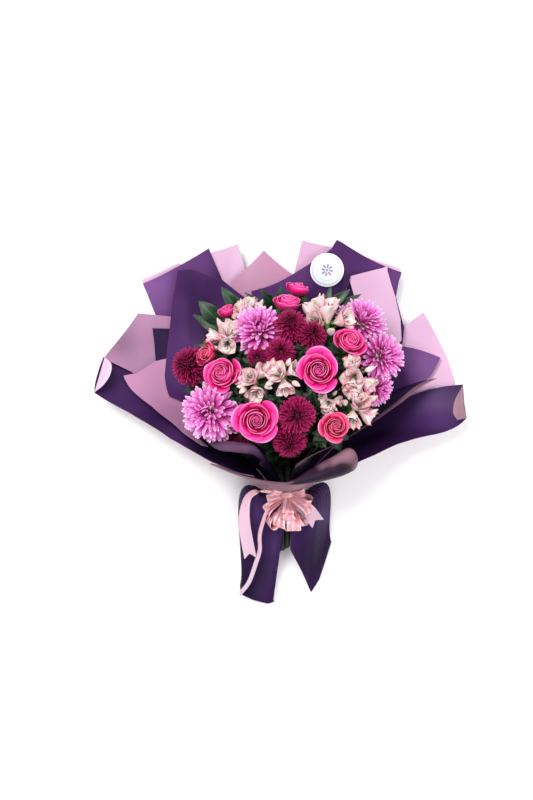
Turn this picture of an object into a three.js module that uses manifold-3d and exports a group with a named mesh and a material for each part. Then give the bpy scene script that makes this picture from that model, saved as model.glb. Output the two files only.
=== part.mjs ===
// Mixed flower bouquet in a two-tone film wrapper, lying on its back on a table.
// Millimetres, +Z up. The heads face up and towards +Y, the wrapper's tails point to -Y.
import * as THREE from 'three';
import { mergeVertices } from 'three/addons/utils/BufferGeometryUtils.js';
import Module from 'manifold-3d';

const wasm = await Module();
wasm.setup();

// ---- Driving dimensions ----
const FILM = 0.8;                                     // thickness of a wrapper sheet
const GAP = 0.3;                                      // clearance between touching pieces
const TIE = new THREE.Vector3(7, -95, 30);            // centre of the tied neck, axis along Y
const NECK = 26;                                      // radius of the outermost sheet at the neck
const NECK_LAYER = 1.8;                               // step between two layers at the neck
const OPEN_LAYER = 5;                                 // step between two layers in the open cup
const OPEN_AT = 0.3;                                  // where that full step is reached
const COLUMN = 12;                                    // widest column of a sheet, degrees
const STATION = 30;                                   // spacing of the cup's stations, degrees
const SATIN = 1;                                      // thickness of the ribbon
const BAND = { width: 11, thick: 1.4, sides: 16 };               // satin band round the neck
const STEM = 2.8;                                     // reach of a three-sided stem's edges
const STEM_STEP = 5;                                  // spacing of the stems at the neck
const STEM_BUNDLE = 15;                               // radius of the stems' axes at the neck
const PACKED = 14;                                    // length over which the stems are packed
const STEM_END = -188;                                // y of the cut ends
const SPRIG = 2.4;                                    // the same of a leafy sprig's stem
const PEDICEL = 2.6;                                  // radius of the short stalk under a head
const LEAF = 1.0;                                     // thickness of a leaf blade
const REACH = 1.1;                                    // a stalk's length from its head's centre, in R
const PETAL = 1.2;                                    // thickness of a petal
const SMALL_POMPON = 20;                              // up to this radius it has fewer petals
const PETALS_A_TURN = 4.5;                            // rose petals in one turn of the spiral
const STICKER = {
  radius: 25, thick: 0.8, layer: 2.7, angle: 286.8, foot: 0.7, head: 0.97, share: 0.745, lift: 1.2 };

// The cup that the wrapper opens into: a rim point and a belly for every 30 degrees round
// the tie. 0 is the right side, 90 the front (up), 180 the left, 270 the back on the table.
const RIM = [
  [276, 6, 40], [165, -35, 92], [85, -66, 160], [8, -75, 193], [-64, -65, 158], [-150, -31, 96],
  [-276, 45, 42], [-238, 163, 28], [-133, 251, 26], [0, 268, 26], [133, 251, 26], [238, 158, 28],
].map((p) => new THREE.Vector3(...p));
const BELLY = [
  [-8, 32, -20], [-4, 12, -6], [0, -4, 0], [0, -8, 0], [0, -4, 0], [4, 12, -6],
  [8, 32, -20], [0, 18, -30], [0, 4, -28], [0, 0, -28], [0, 4, -28], [0, 18, -30],
].map((p) => new THREE.Vector3(...p));

const COLOURS = {
  rose: 0xf04696, roseDeep: 0xdc2864, lilac: 0xdc78d2, burgundy: 0x8c1446, cream: 0xf0dcd2,
  leaf: 0x326440, stem: 0x4c7a3c, purple: 0x5a3e7c, navy: 0x2c1d44, pink: 0xf0c8e6,
  rosy: 0xd4a0be, mauve: 0x9a6c80, satin: 0xf0bebe, label: 0xeef2f6,
};

// ---- Small tools ----
let seed = 20;
function random() {
  seed = (seed * 16807) % 2147483647;
  return seed / 2147483647;
}

function vary(amount) {
  return 1 + amount * (2 * random() - 1);
}

const point = (x, y, z) => new THREE.Vector3(x, y, z);
const radians = THREE.MathUtils.degToRad;
const GOLDEN = radians(137.5);

function signedVolume(positions, index) {
  let six = 0;
  const [a, b, c] = [point(), point(), point()];
  for (let k = 0; k < index.length; k += 3) {
    a.fromArray(positions, index[k] * 3);
    b.fromArray(positions, index[k + 1] * 3);
    c.fromArray(positions, index[k + 2] * 3);
    six += a.dot(b.cross(c));
  }
  return six;
}

// A closed geometry as a solid, its faces turned out.
function solid(geometry) {
  const bare = geometry.clone();
  bare.deleteAttribute('normal');
  bare.deleteAttribute('uv');
  const merged = mergeVertices(bare, 1e-4);
  const positions = merged.attributes.position.array;
  const index = Uint32Array.from(merged.index.array);
  if (signedVolume(positions, index) < 0) index.reverse();
  const mesh = new wasm.Mesh({
    numProp: 3, vertProperties: Float32Array.from(positions), triVerts: index });
  return new wasm.Manifold(mesh);
}

function geometryOf(body) {
  const mesh = body.getMesh();
  const geometry = new THREE.BufferGeometry();
  geometry.setAttribute('position', new THREE.BufferAttribute(mesh.vertProperties, 3));
  geometry.setIndex(new THREE.BufferAttribute(mesh.triVerts, 1));
  return geometry;
}

const join = (bodies) => bodies.reduce((whole, body) => whole.add(body));

// The biggest connected piece: loose scraps and sealed hollows go.
function biggest(body) {
  return body.decompose().reduce((best, part) => (part.volume() > best.volume() ? part : best));
}

// A thin closed blade over a grid: at(u, v, side) gives the point of each of its two faces.
function blade(columns, rows, at) {
  const grid = new THREE.PlaneGeometry(1, 1, columns, rows);
  const { uv } = grid.attributes;
  const count = uv.count;
  const places = [];
  for (const side of [1, -1]) {
    for (let k = 0; k < count; k++) places.push(at(uv.getX(k), uv.getY(k), side));
  }
  const faces = [...grid.index.array];
  const index = [...faces];
  for (let k = 0; k < faces.length; k += 3) {
    index.push(faces[k] + count, faces[k + 2] + count, faces[k + 1] + count);
  }
  const loop = borderOf(columns, rows);
  loop.forEach((b, k) => {
    const a = loop[(k + loop.length - 1) % loop.length];
    index.push(b, a, a + count, b, a + count, b + count);
  });
  const geometry = new THREE.BufferGeometry().setFromPoints(places);
  geometry.setIndex(index);
  return geometry;
}

// The grid's border vertices, anticlockwise.
function borderOf(columns, rows) {
  const at = (i, j) => j * (columns + 1) + i;
  const loop = [];
  for (let i = 0; i < columns; i++) loop.push(at(i, rows));
  for (let j = rows; j > 0; j--) loop.push(at(columns, j));
  for (let i = columns; i > 0; i--) loop.push(at(i, 0));
  for (let j = 0; j < rows; j++) loop.push(at(0, j));
  return loop;
}

// Moves a geometry made along +Z so that it starts at a place and points a way.
function aim(geometry, place, way, spin = 0) {
  const turn = new THREE.Quaternion().setFromUnitVectors(point(0, 0, 1), way.clone().normalize());
  const roll = new THREE.Quaternion().setFromAxisAngle(point(0, 0, 1), spin);
  geometry.applyQuaternion(turn.multiply(roll));
  return geometry.translate(place.x, place.y, place.z);
}

// A profile of [radius, height] turned round Z.
function turned(profile, sides) {
  const geometry = new THREE.LatheGeometry(profile.map((p) => new THREE.Vector2(...p)), sides);
  return geometry.rotateX(Math.PI / 2);
}

// ---- The wrapper's cup ----
function ringValue(table, angle) {
  const place = (((angle % 360) + 360) % 360) / STATION;
  const first = Math.floor(place);
  const [a, b, c, d] = [-1, 0, 1, 2].map((k) => table[(first + k + table.length) % table.length]);
  const f = place - first;
  const curve = (p, q, r, s) => 0.5 * (2 * q + (r - p) * f + (2 * p - 5 * q + 4 * r - s) * f * f
    + (3 * q - p - 3 * r + s) * f ** 3);
  return point(curve(a.x, b.x, c.x, d.x), curve(a.y, b.y, c.y, d.y), curve(a.z, b.z, c.z, d.z));
}

function neckPoint(angle, radius = NECK) {
  const a = radians(angle);
  return TIE.clone().add(point(radius * Math.cos(a), 0, radius * Math.sin(a)));
}

// The outermost sheet's middle surface; the table flattens its back.
function cup(angle, along) {
  const neck = neckPoint(angle);
  const sag = along < 1 ? 4 * along * (1 - along) : 0;
  const p = neck.lerp(ringValue(RIM, angle), along).addScaledVector(ringValue(BELLY, angle), sag);
  p.z = Math.max(p.z, FILM / 2);
  return p;
}

function inward(angle, along) {
  const near = Math.max(along - 0.01, 0);
  const across = cup(angle + 0.5, along).sub(cup(angle - 0.5, along));
  return across.cross(cup(angle, near + 0.02).sub(cup(angle, near))).normalize();
}

function onLayer(angle, along, layer, lift = 0) {
  const share = Math.min(along / OPEN_AT, 1);
  const step = NECK_LAYER + (OPEN_LAYER - NECK_LAYER) * share;
  return cup(angle, along).addScaledVector(inward(angle, along), layer * step + lift);
}

// A sheet's outer edge runs straight between its corners when the film is laid out flat.
function edgeOf(corners) {
  const flat = corners.map(([angle, along]) =>
    new THREE.Vector2(along * Math.cos(radians(angle)), along * Math.sin(radians(angle))));
  const edge = [];
  for (let k = 0; k + 1 < corners.length; k++) {
    const turn = corners[k + 1][0] - corners[k][0];
    const steps = Math.max(1, Math.ceil(Math.abs(turn) / COLUMN));
    for (let i = k ? 1 : 0; i <= steps; i++) {
      const p = flat[k].clone().lerp(flat[k + 1], i / steps);
      const angle = THREE.MathUtils.radToDeg(Math.atan2(p.y, p.x));
      const turns = Math.round((corners[k][0] - angle) / 360);
      edge.push([angle + 360 * turns, p.length()]);
    }
  }
  return edge;
}

// Rows of a sheet, shared by all as far as its own edge allows.
const rowsTo = (edge) => [0, 0.15, 0.42, edge > 0.715 ? 0.7 : (0.42 + edge) / 2, edge];

function cupSheet(layer, corners) {
  const edge = edgeOf(corners);
  return blade(edge.length - 1, 4, (u, v, side) => {
    const [angle, along] = edge[Math.round(u * (edge.length - 1))];
    return onLayer(angle, rowsTo(along)[Math.round(4 * v)], layer, side * FILM / 2);
  });
}

// A sheet that stands free of the cup: a neck angle and a rim point for each column, and a
// belly that changes from the first column to the last.
function fanSheet(radius, bellies, columns, thick = FILM) {
  const last = columns.length - 1;
  const [first, final] = bellies.map((belly) => point(...belly));
  const middle = (j, v) => {
    const [angle, ...rim] = columns[j];
    const belly = first.clone().lerp(final, j / last);
    return neckPoint(angle, radius).lerp(point(...rim), v).addScaledVector(belly, 4 * v * (1 - v));
  };
  return blade(last, 3, (u, v, side) => {
    const j = Math.round(u * last);
    const across = middle(Math.min(j + 1, last), v).sub(middle(Math.max(j - 1, 0), v));
    const up = middle(j, Math.min(v + 0.05, 1)).sub(middle(j, Math.max(v - 0.05, 0)));
    return middle(j, v).addScaledVector(across.cross(up).normalize(), side * thick / 2);
  });
}

// ---- Heads: each fits a sphere of radius R and stands on a short stalk ----
function stalk(R, top) {
  const foot = -REACH * R;
  return turned([[0, foot], [PEDICEL, foot], [0.3 * R, top], [0, top]], 6);
}

// A rose: a bud, and round it a spiral of petals that widens, opens and scallops its lip.
function rose(R, { turns, columns, widest, lip, flare }) {
  const profile = [[0, -0.4], [0.2, -0.3], [0.22, 0.2], [0.12, lip], [0, lip - 0.12]];
  const bud = turned(profile.map(([r, z]) => [r * R, z * R]), 6);
  const spiral = blade(Math.round(turns * columns), 2, (u, v, side) => {
    const a = 2 * Math.PI * turns * u;
    const petal = (a * PETALS_A_TURN) / (2 * Math.PI);
    const scallop = Math.abs(Math.sin(Math.PI * petal));
    const reach = 0.3 + (widest - 0.3) * u;
    const swell = v < 1 ? 0.9 : 1 + flare * u * scallop;
    const r = R * (v > 0 ? reach * swell : 0.14 + 0.22 * u) + side * PETAL / 2;
    const height = [-0.62, -0.12, lip - 0.24 * u - 0.14 * (1 - scallop)][Math.round(2 * v)];
    return point(r * Math.cos(a), r * Math.sin(a), R * height);
  });
  return [stalk(R, -0.45 * R), bud, spiral];
}

const OPEN_ROSE = { turns: 2.2, columns: 7, widest: 0.9, lip: 0.45, flare: 0.14 };
const HALF_ROSE = { turns: 1.5, columns: 7, widest: 0.7, lip: 0.6, flare: 0.2 };

// A pointed ray petal from the middle out along a way.
function ray(length, width, place, way, spin) {
  const petal = new THREE.OctahedronGeometry(1, 0);
  petal.scale(width / 2, PETAL, length / 2).translate(0, 0, length / 2);
  return aim(petal, place, way, spin);
}

// A chrysanthemum: rays in a golden-angle dome round a low core.
function mum(R, count, low = -0.25) {
  const core = new THREE.IcosahedronGeometry(0.55 * R, 0).scale(1, 1, 0.8);
  const pieces = [stalk(R, -0.3 * R), core.translate(0, 0, -0.05 * R)];
  for (let k = 0; k < count; k++) {
    const z = low + (1 - low) * ((k + 0.5) / count) ** 1.15;
    const across = Math.sqrt(1 - z * z);
    const way = point(across * Math.cos(k * GOLDEN), across * Math.sin(k * GOLDEN), z);
    const length = R * (0.98 - 0.2 * Math.max(z, 0)) * vary(0.02);
    const from = way.clone().multiplyScalar(0.3 * R);
    pieces.push(ray(length - 0.3 * R, 0.27 * R, from, way, Math.PI / 2));
  }
  return pieces;
}

// A tight chrysanthemum: every facet of a flattened ball is drawn out to a petal tip.
function pompon(R) {
  const ball = R > SMALL_POMPON ? new THREE.IcosahedronGeometry(0.8 * R, 1)
    : new THREE.DodecahedronGeometry(0.8 * R, 0);
  const from = ball.attributes.position;
  const places = [];
  for (let k = 0; k < from.count; k += 3) {
    const corners = [0, 1, 2].map((i) => point().fromBufferAttribute(from, k + i));
    const tip = corners[0].clone().add(corners[1]).add(corners[2]);
    tip.setLength(R * vary(0.03));
    corners.forEach((c, i) => places.push(c, corners[(i + 1) % 3], tip));
  }
  const head = new THREE.BufferGeometry().setFromPoints(places).scale(1, 1, 0.85);
  return [stalk(R, -0.5 * R), head];
}

// One lily-like floret on a long throat, with six pointed lobes.
function floret(throat, size, place, way, spin) {
  const pieces = [new THREE.CylinderGeometry(0.26 * size, 1.4, throat, 5)
    .rotateX(Math.PI / 2).translate(0, 0, throat / 2)];
  const lean = radians(50);
  for (let k = 0; k < 6; k++) {
    const lobe = new THREE.OctahedronGeometry(1, 0);
    lobe.scale(PETAL, 0.2 * size, 0.46 * size).translate(0.1 * size, 0, 0.42 * size);
    lobe.rotateY(lean).rotateZ((k * Math.PI) / 3);
    pieces.push(lobe.translate(0, 0, throat - 0.3 * size));
  }
  return pieces.map((piece) => aim(piece, place, way, spin));
}

// A spray of florets and buds that branch from one point.
function spray(R, florets, buds) {
  const root = point(0, 0, -0.75 * R);
  const pieces = [stalk(R, -0.6 * R)];
  for (let k = 0; k < florets; k++) {
    const a = (2 * Math.PI * k) / florets + 0.5;
    const lean = florets > 1 ? 0.5 : 0;
    const way = point(lean * Math.cos(a), lean * Math.sin(a), 1);
    pieces.push(...floret(0.95 * R, R * (florets > 1 ? 0.8 : 1), root, way, k));
  }
  for (let k = 0; k < buds; k++) {
    const a = (2 * Math.PI * (k + 0.5)) / buds + 0.5;
    const way = point(0.7 * Math.cos(a), 0.7 * Math.sin(a), 0.8);
    pieces.push(ray(1.45 * R, 0.3 * R, root, way, 0));
  }
  return pieces;
}

const openRose = (R) => rose(R, OPEN_ROSE);
const halfRose = (R) => rose(R, HALF_ROSE);
const lilacMum = (R) => mum(R, 17);
const alstroemeria = (R) => spray(R, 1, 2);

// Every head: kind, centre, radius and the way it faces.
const HEADS = [
  ['rose_front', openRose, 'rose', [-34, 7, 178], 31, [0.05, -0.1, 1]],
  ['rose_centre', openRose, 'rose', [50, 73, 180], 30, [0, 0.1, 1]],
  ['rose_left', openRose, 'rose', [-79, 68, 156], 28, [-0.45, 0.35, 1]],
  ['rose_right', openRose, 'rose', [94, 113, 142], 25, [0.3, 0.6, 1]],
  ['rose_low_right', openRose, 'roseDeep', [73, -3, 166], 22, [0.2, 0.2, 1]],
  ['rose_top', openRose, 'rose', [9, 174, 104], 23, [0.05, 1, 0.5]],
  ['rose_bud_top', halfRose, 'rose', [28, 196, 76], 16, [0.2, 1, 0.3]],
  ['rose_bud_left', halfRose, 'roseDeep', [-101, 98, 124], 16, [-0.7, 0.2, 0.7]],
  ['rose_bud_back', halfRose, 'rose', [-76, 159, 92], 13, [-0.5, 0.9, 0.5]],
  ['chrysanthemum_left', lilacMum, 'lilac', [-99, 16, 146], 38, [-0.4, -0.15, 1]],
  ['chrysanthemum_back', lilacMum, 'lilac', [-29, 131, 128], 38, [0, 0.55, 1]],
  ['chrysanthemum_right', lilacMum, 'lilac', [116, 153, 96], 35, [0.45, 0.75, 1]],
  ['chrysanthemum_far_right', lilacMum, 'lilac', [143, 95, 112], 34, [0.7, 0.2, 1]],
  ['chrysanthemum_low_right', lilacMum, 'lilac', [136, 50, 110], 25, [0.7, -0.3, 0.8]],
  ['pompon_left', pompon, 'burgundy', [-129, 82, 106], 27, [-0.7, 0.2, 1]],
  ['pompon_back', pompon, 'burgundy', [13, 137, 142], 23, [0, 0.5, 1]],
  ['pompon_middle', pompon, 'burgundy', [-1, 99, 160], 20, [0, 0.2, 1]],
  ['pompon_right', pompon, 'burgundy', [43, 124, 144], 20, [0.2, 0.4, 1]],
  ['pompon_front', pompon, 'burgundy', [21, 13, 174], 25, [0, 0, 1]],
  ['pompon_low', pompon, 'burgundy', [11, -23, 158], 23, [0, -0.4, 1]],
  ['pompon_low_left', pompon, 'burgundy', [-60, -10, 116], 22, [-0.4, -0.5, 1]],
  ['pompon_small', pompon, 'burgundy', [-33, 92, 150], 14, [0, 0.1, 1]],
  ['alstroemeria_left', alstroemeria, 'cream', [-82, 123, 122], 24, [-0.5, 0.6, 1]],
  ['alstroemeria_back', alstroemeria, 'cream', [-47, 169, 94], 21, [-0.3, 0.9, 0.7]],
  ['alstroemeria_large', alstroemeria, 'cream', [61, 160, 114], 31, [0.1, 0.8, 1]],
  ['alstroemeria_middle', alstroemeria, 'cream', [-36, 59, 160], 23, [0, 0.1, 1]],
  ['alstroemeria_centre', alstroemeria, 'cream', [2, 66, 168], 23, [0, 0, 1]],
  ['alstroemeria_right', alstroemeria, 'cream', [103, 66, 148], 25, [0.3, 0, 1]],
  ['alstroemeria_low_right', alstroemeria, 'cream', [104, 22, 146], 25, [0.4, -0.1, 1]],
  ['alstroemeria_low', alstroemeria, 'cream', [66, 32, 150], 15, [0.1, 0, 1]],
].map(([name, make, colour, centre, R, way]) => (
  { name, make, colour, centre: point(...centre), R, way: point(...way).normalize() }));

// Where two heads' spheres meet, each keeps its own side of the plane between them.
function clearOfNeighbours(body, head) {
  let left = body;
  for (const other of HEADS) {
    const apart = other.centre.clone().sub(head.centre);
    const distance = apart.length();
    if (other === head || distance >= head.R + other.R) continue;
    const plane = (distance ** 2 + head.R ** 2 - other.R ** 2) / (2 * distance) - GAP / 2;
    const size = 4 * head.R;
    const beyond = new THREE.BoxGeometry(size, size, size).translate(0, 0, plane + size / 2);
    left = left.subtract(solid(aim(beyond, head.centre, apart)));
  }
  return biggest(left);
}

// ---- Stems ----
// Where a stem crosses the neck: by the side and the height that it comes from.
function neckSlot(start) {
  const from = start.clone().sub(TIE);
  const side = Math.atan2(from.x, from.y) / radians(60);
  const rise = (Math.atan2(from.z, Math.hypot(from.x, from.y)) - radians(42)) / radians(26);
  return new THREE.Vector2(side, rise).clampLength(0, 1).multiplyScalar(STEM_BUNDLE);
}

// The slots pushed apart until the stems lie side by side.
function spreadSlots(slots) {
  for (let round = 0; round < 200; round++) {
    slots.forEach((a, i) => slots.slice(i + 1).forEach((b) => {
      const apart = b.clone().sub(a);
      const short = STEM_STEP - apart.length();
      if (short <= 0) return;
      apart.setLength(short / 2);
      a.sub(apart);
      b.add(apart);
    }));
    slots.forEach((slot) => slot.clampLength(0, STEM_BUNDLE));
  }
  return slots;
}

// A route of straight runs, one step of an extrusion to each.
class Route extends THREE.Curve {
  constructor(places) {
    super();
    this.places = places;
  }

  getUtoTmapping(u) {
    return u;
  }

  getPoint(t) {
    const runs = this.places.length - 1;
    const run = Math.min(Math.floor(t * runs), runs - 1);
    return this.places[run].clone().lerp(this.places[run + 1], t * runs - run);
  }
}

function stemAlong(start, way, slot, half = STEM) {
  const route = new Route([
    start, start.clone().addScaledVector(way, -20),
    point(TIE.x + slot.x, TIE.y, TIE.z + slot.y),
    point(TIE.x + 1.1 * slot.x, STEM_END + 0.6 * slot.x, TIE.z + 0.9 * slot.y),
  ]);
  const section = new THREE.Shape([0, 120, 240].map((a) =>
    new THREE.Vector2(half * Math.cos(radians(a)), half * Math.sin(radians(a)))));
  return new THREE.ExtrudeGeometry(section, { extrudePath: route, steps: 3, bevelEnabled: false });
}

const stemTop = ({ centre, way, R }) => centre.clone().addScaledVector(way, -REACH * R - GAP);

// The room that a head and its stalk take, which stems and leaves keep out of.
function envelopeOf({ centre, R, way }) {
  const profile = [[0, -REACH], [0.2, -REACH], [0.3, -0.86], [0.85, -0.56], [1.05, -0.2], [1.05, 0.1],
    [0.8, 0.75], [0, 1]];
  return solid(aim(turned(profile.map(([r, z]) => [r * R, z * R]), 8), centre, way));
}

// ---- Leaves ----
// A pointed blade from root to tip with a fold along its rib and a waved edge.
function leafBlade(root, tip, width, wave = 1) {
  const length = root.distanceTo(tip);
  const geometry = blade(2, 3, (u, v, side) => {
    const half = (width / 2) * Math.max(Math.sin(Math.PI * v ** 0.75), 0.14);
    const across = 2 * u - 1;
    const ripple = wave * 1.2 * across * Math.sin(9 * v);
    const arch = 0.1 * length * Math.sin(Math.PI * v);
    const fold = Math.abs(across) * half * 0.3;
    return point(half * across, arch + fold + ripple + side * LEAF / 2, length * v);
  });
  const way = tip.clone().sub(root).normalize();
  const face = point(0, 0, 1).addScaledVector(way, -way.z).normalize();
  const basis = new THREE.Matrix4().makeBasis(face.clone().cross(way), face, way);
  return geometry.applyMatrix4(basis).translate(root.x, root.y, root.z);
}

// Leafy sprigs: the node, where the sprig ends, and its leaves as [tip, width].
const SPRIGS = [
  ['leaves_left', [-80, 138, 66], [
    [[-118, 177, 76], 24], [[-85, 196, 84], 22], [[-127, 158, 62], 17], [[-126, 114, 62], 16]]],
  ['leaves_back', [-8, 170, 56], [
    [[-30, 195, 78], 13], [[2, 198, 76], 14], [[-52, 190, 66], 13], [[40, 198, 58], 12]]],
  ['leaves_right', [64, 164, 56], [
    [[101, 194, 70], 17], [[118, 188, 58], 15], [[74, 200, 64], 13], [[134, 168, 54], 14]]],
  ['leaves_low_left', [-108, 50, 66], [
    [[-140, 48, 78], 17], [[-132, 20, 84], 15], [[-146, 80, 66], 13]]],
  ['leaves_low_right', [110, 22, 70], [
    [[134, 22, 100], 15], [[150, 46, 84], 13], [[106, -2, 108], 13]]],
  ['leaves_front', [-8, -30, 98], [
    [[-20, -42, 132], 13], [[26, -46, 130], 13], [[-84, 8, 98], 13], [[56, -24, 116], 13]]],
];

function sprigBody([, end, leaves], slot, half = SPRIG) {
  const root = point(...end);
  const out = root.clone().sub(TIE).normalize();
  const parts = [stemAlong(root.clone().addScaledVector(out, 6), out, slot, half)];
  leaves.forEach(([tip, width], k) => {
    const from = root.clone().addScaledVector(out, -7 * k);
    parts.push(leafBlade(from, point(...tip), width, k % 2 ? 1 : -1));
  });
  return join(parts.map(solid));
}

// ---- The wrapper's sheets ----
// Cup sheets: name, colour, layer (0 outermost) and corners as [angle, share of the cup].
const CUP_SHEETS = [
  ['sheet_back_left_pink', 'pink', 0, [[243, 0.9], [235, 0.99], [222.3, 1.026], [221.4, 0.88]]],
  ['sheet_back_pink', 'pink', 0, [[267, 0.6], [257.2, 0.9], [256.3, 1.0], [246.8, 0.98], [244, 0.85]]],
  ['sheet_back_right_pink', 'pink', 0,
    [[313, 0.8], [311.6, 1.017], [300.5, 0.986], [287, 0.99], [277.3, 1.01], [275.5, 0.89], [268, 0.5]]],
  ['sheet_right_pink', 'pink', 0, [[350, 0.95], [340.8, 0.942], [325.3, 0.946], [323.5, 0.82]]],
  ['sheet_back_purple_left', 'purple', 1,
    [[249, 0.7], [248, 0.866], [246.5, 1.0], [222, 1.01], [218.5, 0.86], [205, 0.72], [202, 0.6]]],
  ['sheet_left_pink', 'pink', 2.1,
    [[230, 0.76], [224, 0.815], [214.2, 0.94], [194.3, 0.97], [193.2, 0.93], [191.5, 0.75]]],
  ['sheet_left_purple', 'purple', 3.05,
    [[226, 0.72], [220.5, 0.778], [214.2, 0.842], [203.2, 0.73], [200, 0.6]]],
  ['sheet_back_rosy', 'rosy', 1.6, [[274.3, 0.88], [264.5, 0.975], [251, 0.853]]],
  ['sheet_back_purple_right', 'purple', STICKER.layer,
    [[328.5, 0.7], [328, 0.77], [324, 0.83], [314.5, 0.912], [312, 1.005], [306.2, 0.993],
      [288.2, 1.018], [287, 0.99], [276.8, 0.897], [258.3, 0.812]]],
  ['sheet_right_purple', 'purple', 2, [[349.5, 0.65], [344, 0.838], [340.2, 0.918], [329, 0.766]]],
  ['sheet_inner_left', 'purple', 4.2,
    [[256, 0.78], [248, 0.875], [238, 0.955], [233.8, 0.978], [227, 0.88], [216.2, 0.745],
      [199.5, 0.654], [184, 0.61]]],
  ['sheet_inner_right', 'pink', 3.8,
    [[326.5, 0.78], [320.5, 0.85], [314.3, 0.914], [307, 0.998], [296, 0.898], [294, 0.5]]],
  ['sheet_left_arrow', 'rosy', 3.55,
    [[212, 0.67], [203, 0.73], [192, 0.79], [188.5, 0.85], [170.2, 0.79], [152, 0.92]]],
  ['wing_left', 'purple', 1,
    [[196, 0.9], [194.2, 0.968], [179, 1.0], [168.8, 0.93], [154, 0.962], [140, 0.92], [128, 0.94],
      [118, 0.97], [110, 1.0]]],
  ['wing_right', 'purple', 1,
    [[415, 1.0], [400, 1.0], [385, 1.0], [375, 0.99], [360.2, 1.0], [354.2, 0.98], [348.8, 0.99],
      [348, 0.8]]],
];

// Sheets with a rim of their own: neck radius, bellies, then [neck angle, x, y, z] of the rim.
const INNERMOST = 21.2;
const FAN_SHEETS = [
  ['collar_inner_right', 'mauve', INNERMOST, [[-6, 32, -12], [0, 2, 2]], [
    [-8, 230, 66, 48], [8, 202, 50, 60], [22, 173, 30, 76], [36, 137, 5, 100], [50, 89, -20, 134],
    [64, 45, -41, 160], [76, 20, -54, 170]]],
  ['collar_inner_left', 'navy', INNERMOST, [[0, 2, 2], [2, 12, -4]], [
    [86, -27, -58, 150], [96, -24, -46, 160], [108, -37, -28, 166], [120, -62, -23, 158],
    [134, -90, -24, 128], [150, -110, -16, 102]]],
];

// The front collar: a sheet outside the others whose rim rolls over towards the viewer.
function frontCollar() {
  const [from, to, columns, rows, rollRows] = [134, 51, 7, 3, 4];
  return blade(columns, rows + rollRows, (u, v, side) => {
    const angle = from + (to - from) * u;
    const step = Math.round(v * (rows + rollRows));
    const roll = 3 + 12 * THREE.MathUtils.smoothstep(u, 0.42, 0.95);
    if (step <= rows) return onLayer(angle, (0.97 * step) / rows, 0, side * FILM / 2);
    const turn = radians(200) * ((step - rows) / rollRows);
    const out = inward(angle, 0.95).negate();
    const up = cup(angle, 1).sub(cup(angle, 0.9)).normalize();
    const r = roll + side * FILM / 2;
    return onLayer(angle, 0.97, 0)
      .addScaledVector(out, roll - r * Math.cos(turn)).addScaledVector(up, r * Math.sin(turn));
  });
}

// A tail of film below the tie: its arc at the neck widens to an end edge near the table.
function filmTail(columns) {
  const last = columns.length - 1;
  const middle = (j, v) => {
    const [angle, spread, ...end] = columns[j];
    const neck = neckPoint(angle).setY(TIE.y - GAP - FILM / 2);
    const held = neck.clone().setY(TIE.y - BAND.width - FILM - 3 * GAP);
    if (v <= 0.25) return neck.lerp(held, v / 0.25);
    const w = (v - 0.25) / 0.75;
    return held.lerp(point(...end), w).addScaledVector(point(...spread), 4 * w * (1 - w));
  };
  return blade(last, 4, (u, v, side) => {
    const j = Math.round(u * last);
    const across = middle(Math.min(j + 1, last), v).sub(middle(Math.max(j - 1, 0), v));
    const down = middle(j, Math.min(v + 0.05, 1)).sub(middle(j, Math.max(v - 0.05, 0)));
    return middle(j, v).addScaledVector(across.cross(down).normalize(), side * FILM / 2);
  });
}

const TAIL_LEFT = [
  [206, [-27, 20, -4], -62, -246, 5], [180, [-28, 20, 2], -60, -259, 8],
  [152, [-18, 12, 14], -42, -266, 14], [124, [-8, 2, 20], -18, -273, 14],
  [100, [-4, 0, 20], -8, -270, 14], [84, [0, 0, 16], -8, -236, 22],
];
const TAIL_RIGHT = [
  [76, [6, 0, 10], 16, -186, 48], [56, [10, 2, 18], 32, -222, 26],
  [32, [16, 8, 12], 48, -258, 8], [8, [26, 18, 4], 62, -236, 8],
  [-20, [34, 24, -4], 79, -178, 6],
];

// ---- Ribbon ----
const bandInner = (NECK + FILM / 2 + GAP) / Math.cos(Math.PI / BAND.sides);
const bandOuter = bandInner + BAND.thick;

function band() {
  const profile = [[bandInner, 0], [bandOuter, 0], [bandOuter, BAND.width], [bandInner, BAND.width],
    [bandInner, 0]];
  const ring = new THREE.LatheGeometry(profile.map((p) => new THREE.Vector2(...p)), BAND.sides);
  return ring.translate(TIE.x, TIE.y - FILM - GAP - BAND.width, TIE.z);
}

// A strip of satin along a path, its width lying at a lean from X towards Y. It widens from
// the knot, and its far corners reach past the middle where it ends in a V.
function satin(places, width, lean, steps, notch = 0) {
  const path = new THREE.CatmullRomCurve3(places.map((p) => point(...p)));
  const flat = point(Math.cos(radians(lean)), Math.sin(radians(lean)), 0);
  return blade(notch ? 2 : 1, steps, (u, v, side) => {
    const along = path.getTangentAt(v);
    const across = flat.clone().addScaledVector(along, -along.dot(flat)).normalize();
    const half = (width / 2) * (0.3 + 0.7 * Math.min(3 * v, 1));
    const tip = v === 1 ? notch * Math.abs(2 * u - 1) : 0;
    return path.getPointAt(v).addScaledVector(across, half * (2 * u - 1))
      .addScaledVector(along, tip).addScaledVector(across.cross(along), side * SATIN / 2);
  });
}

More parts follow.
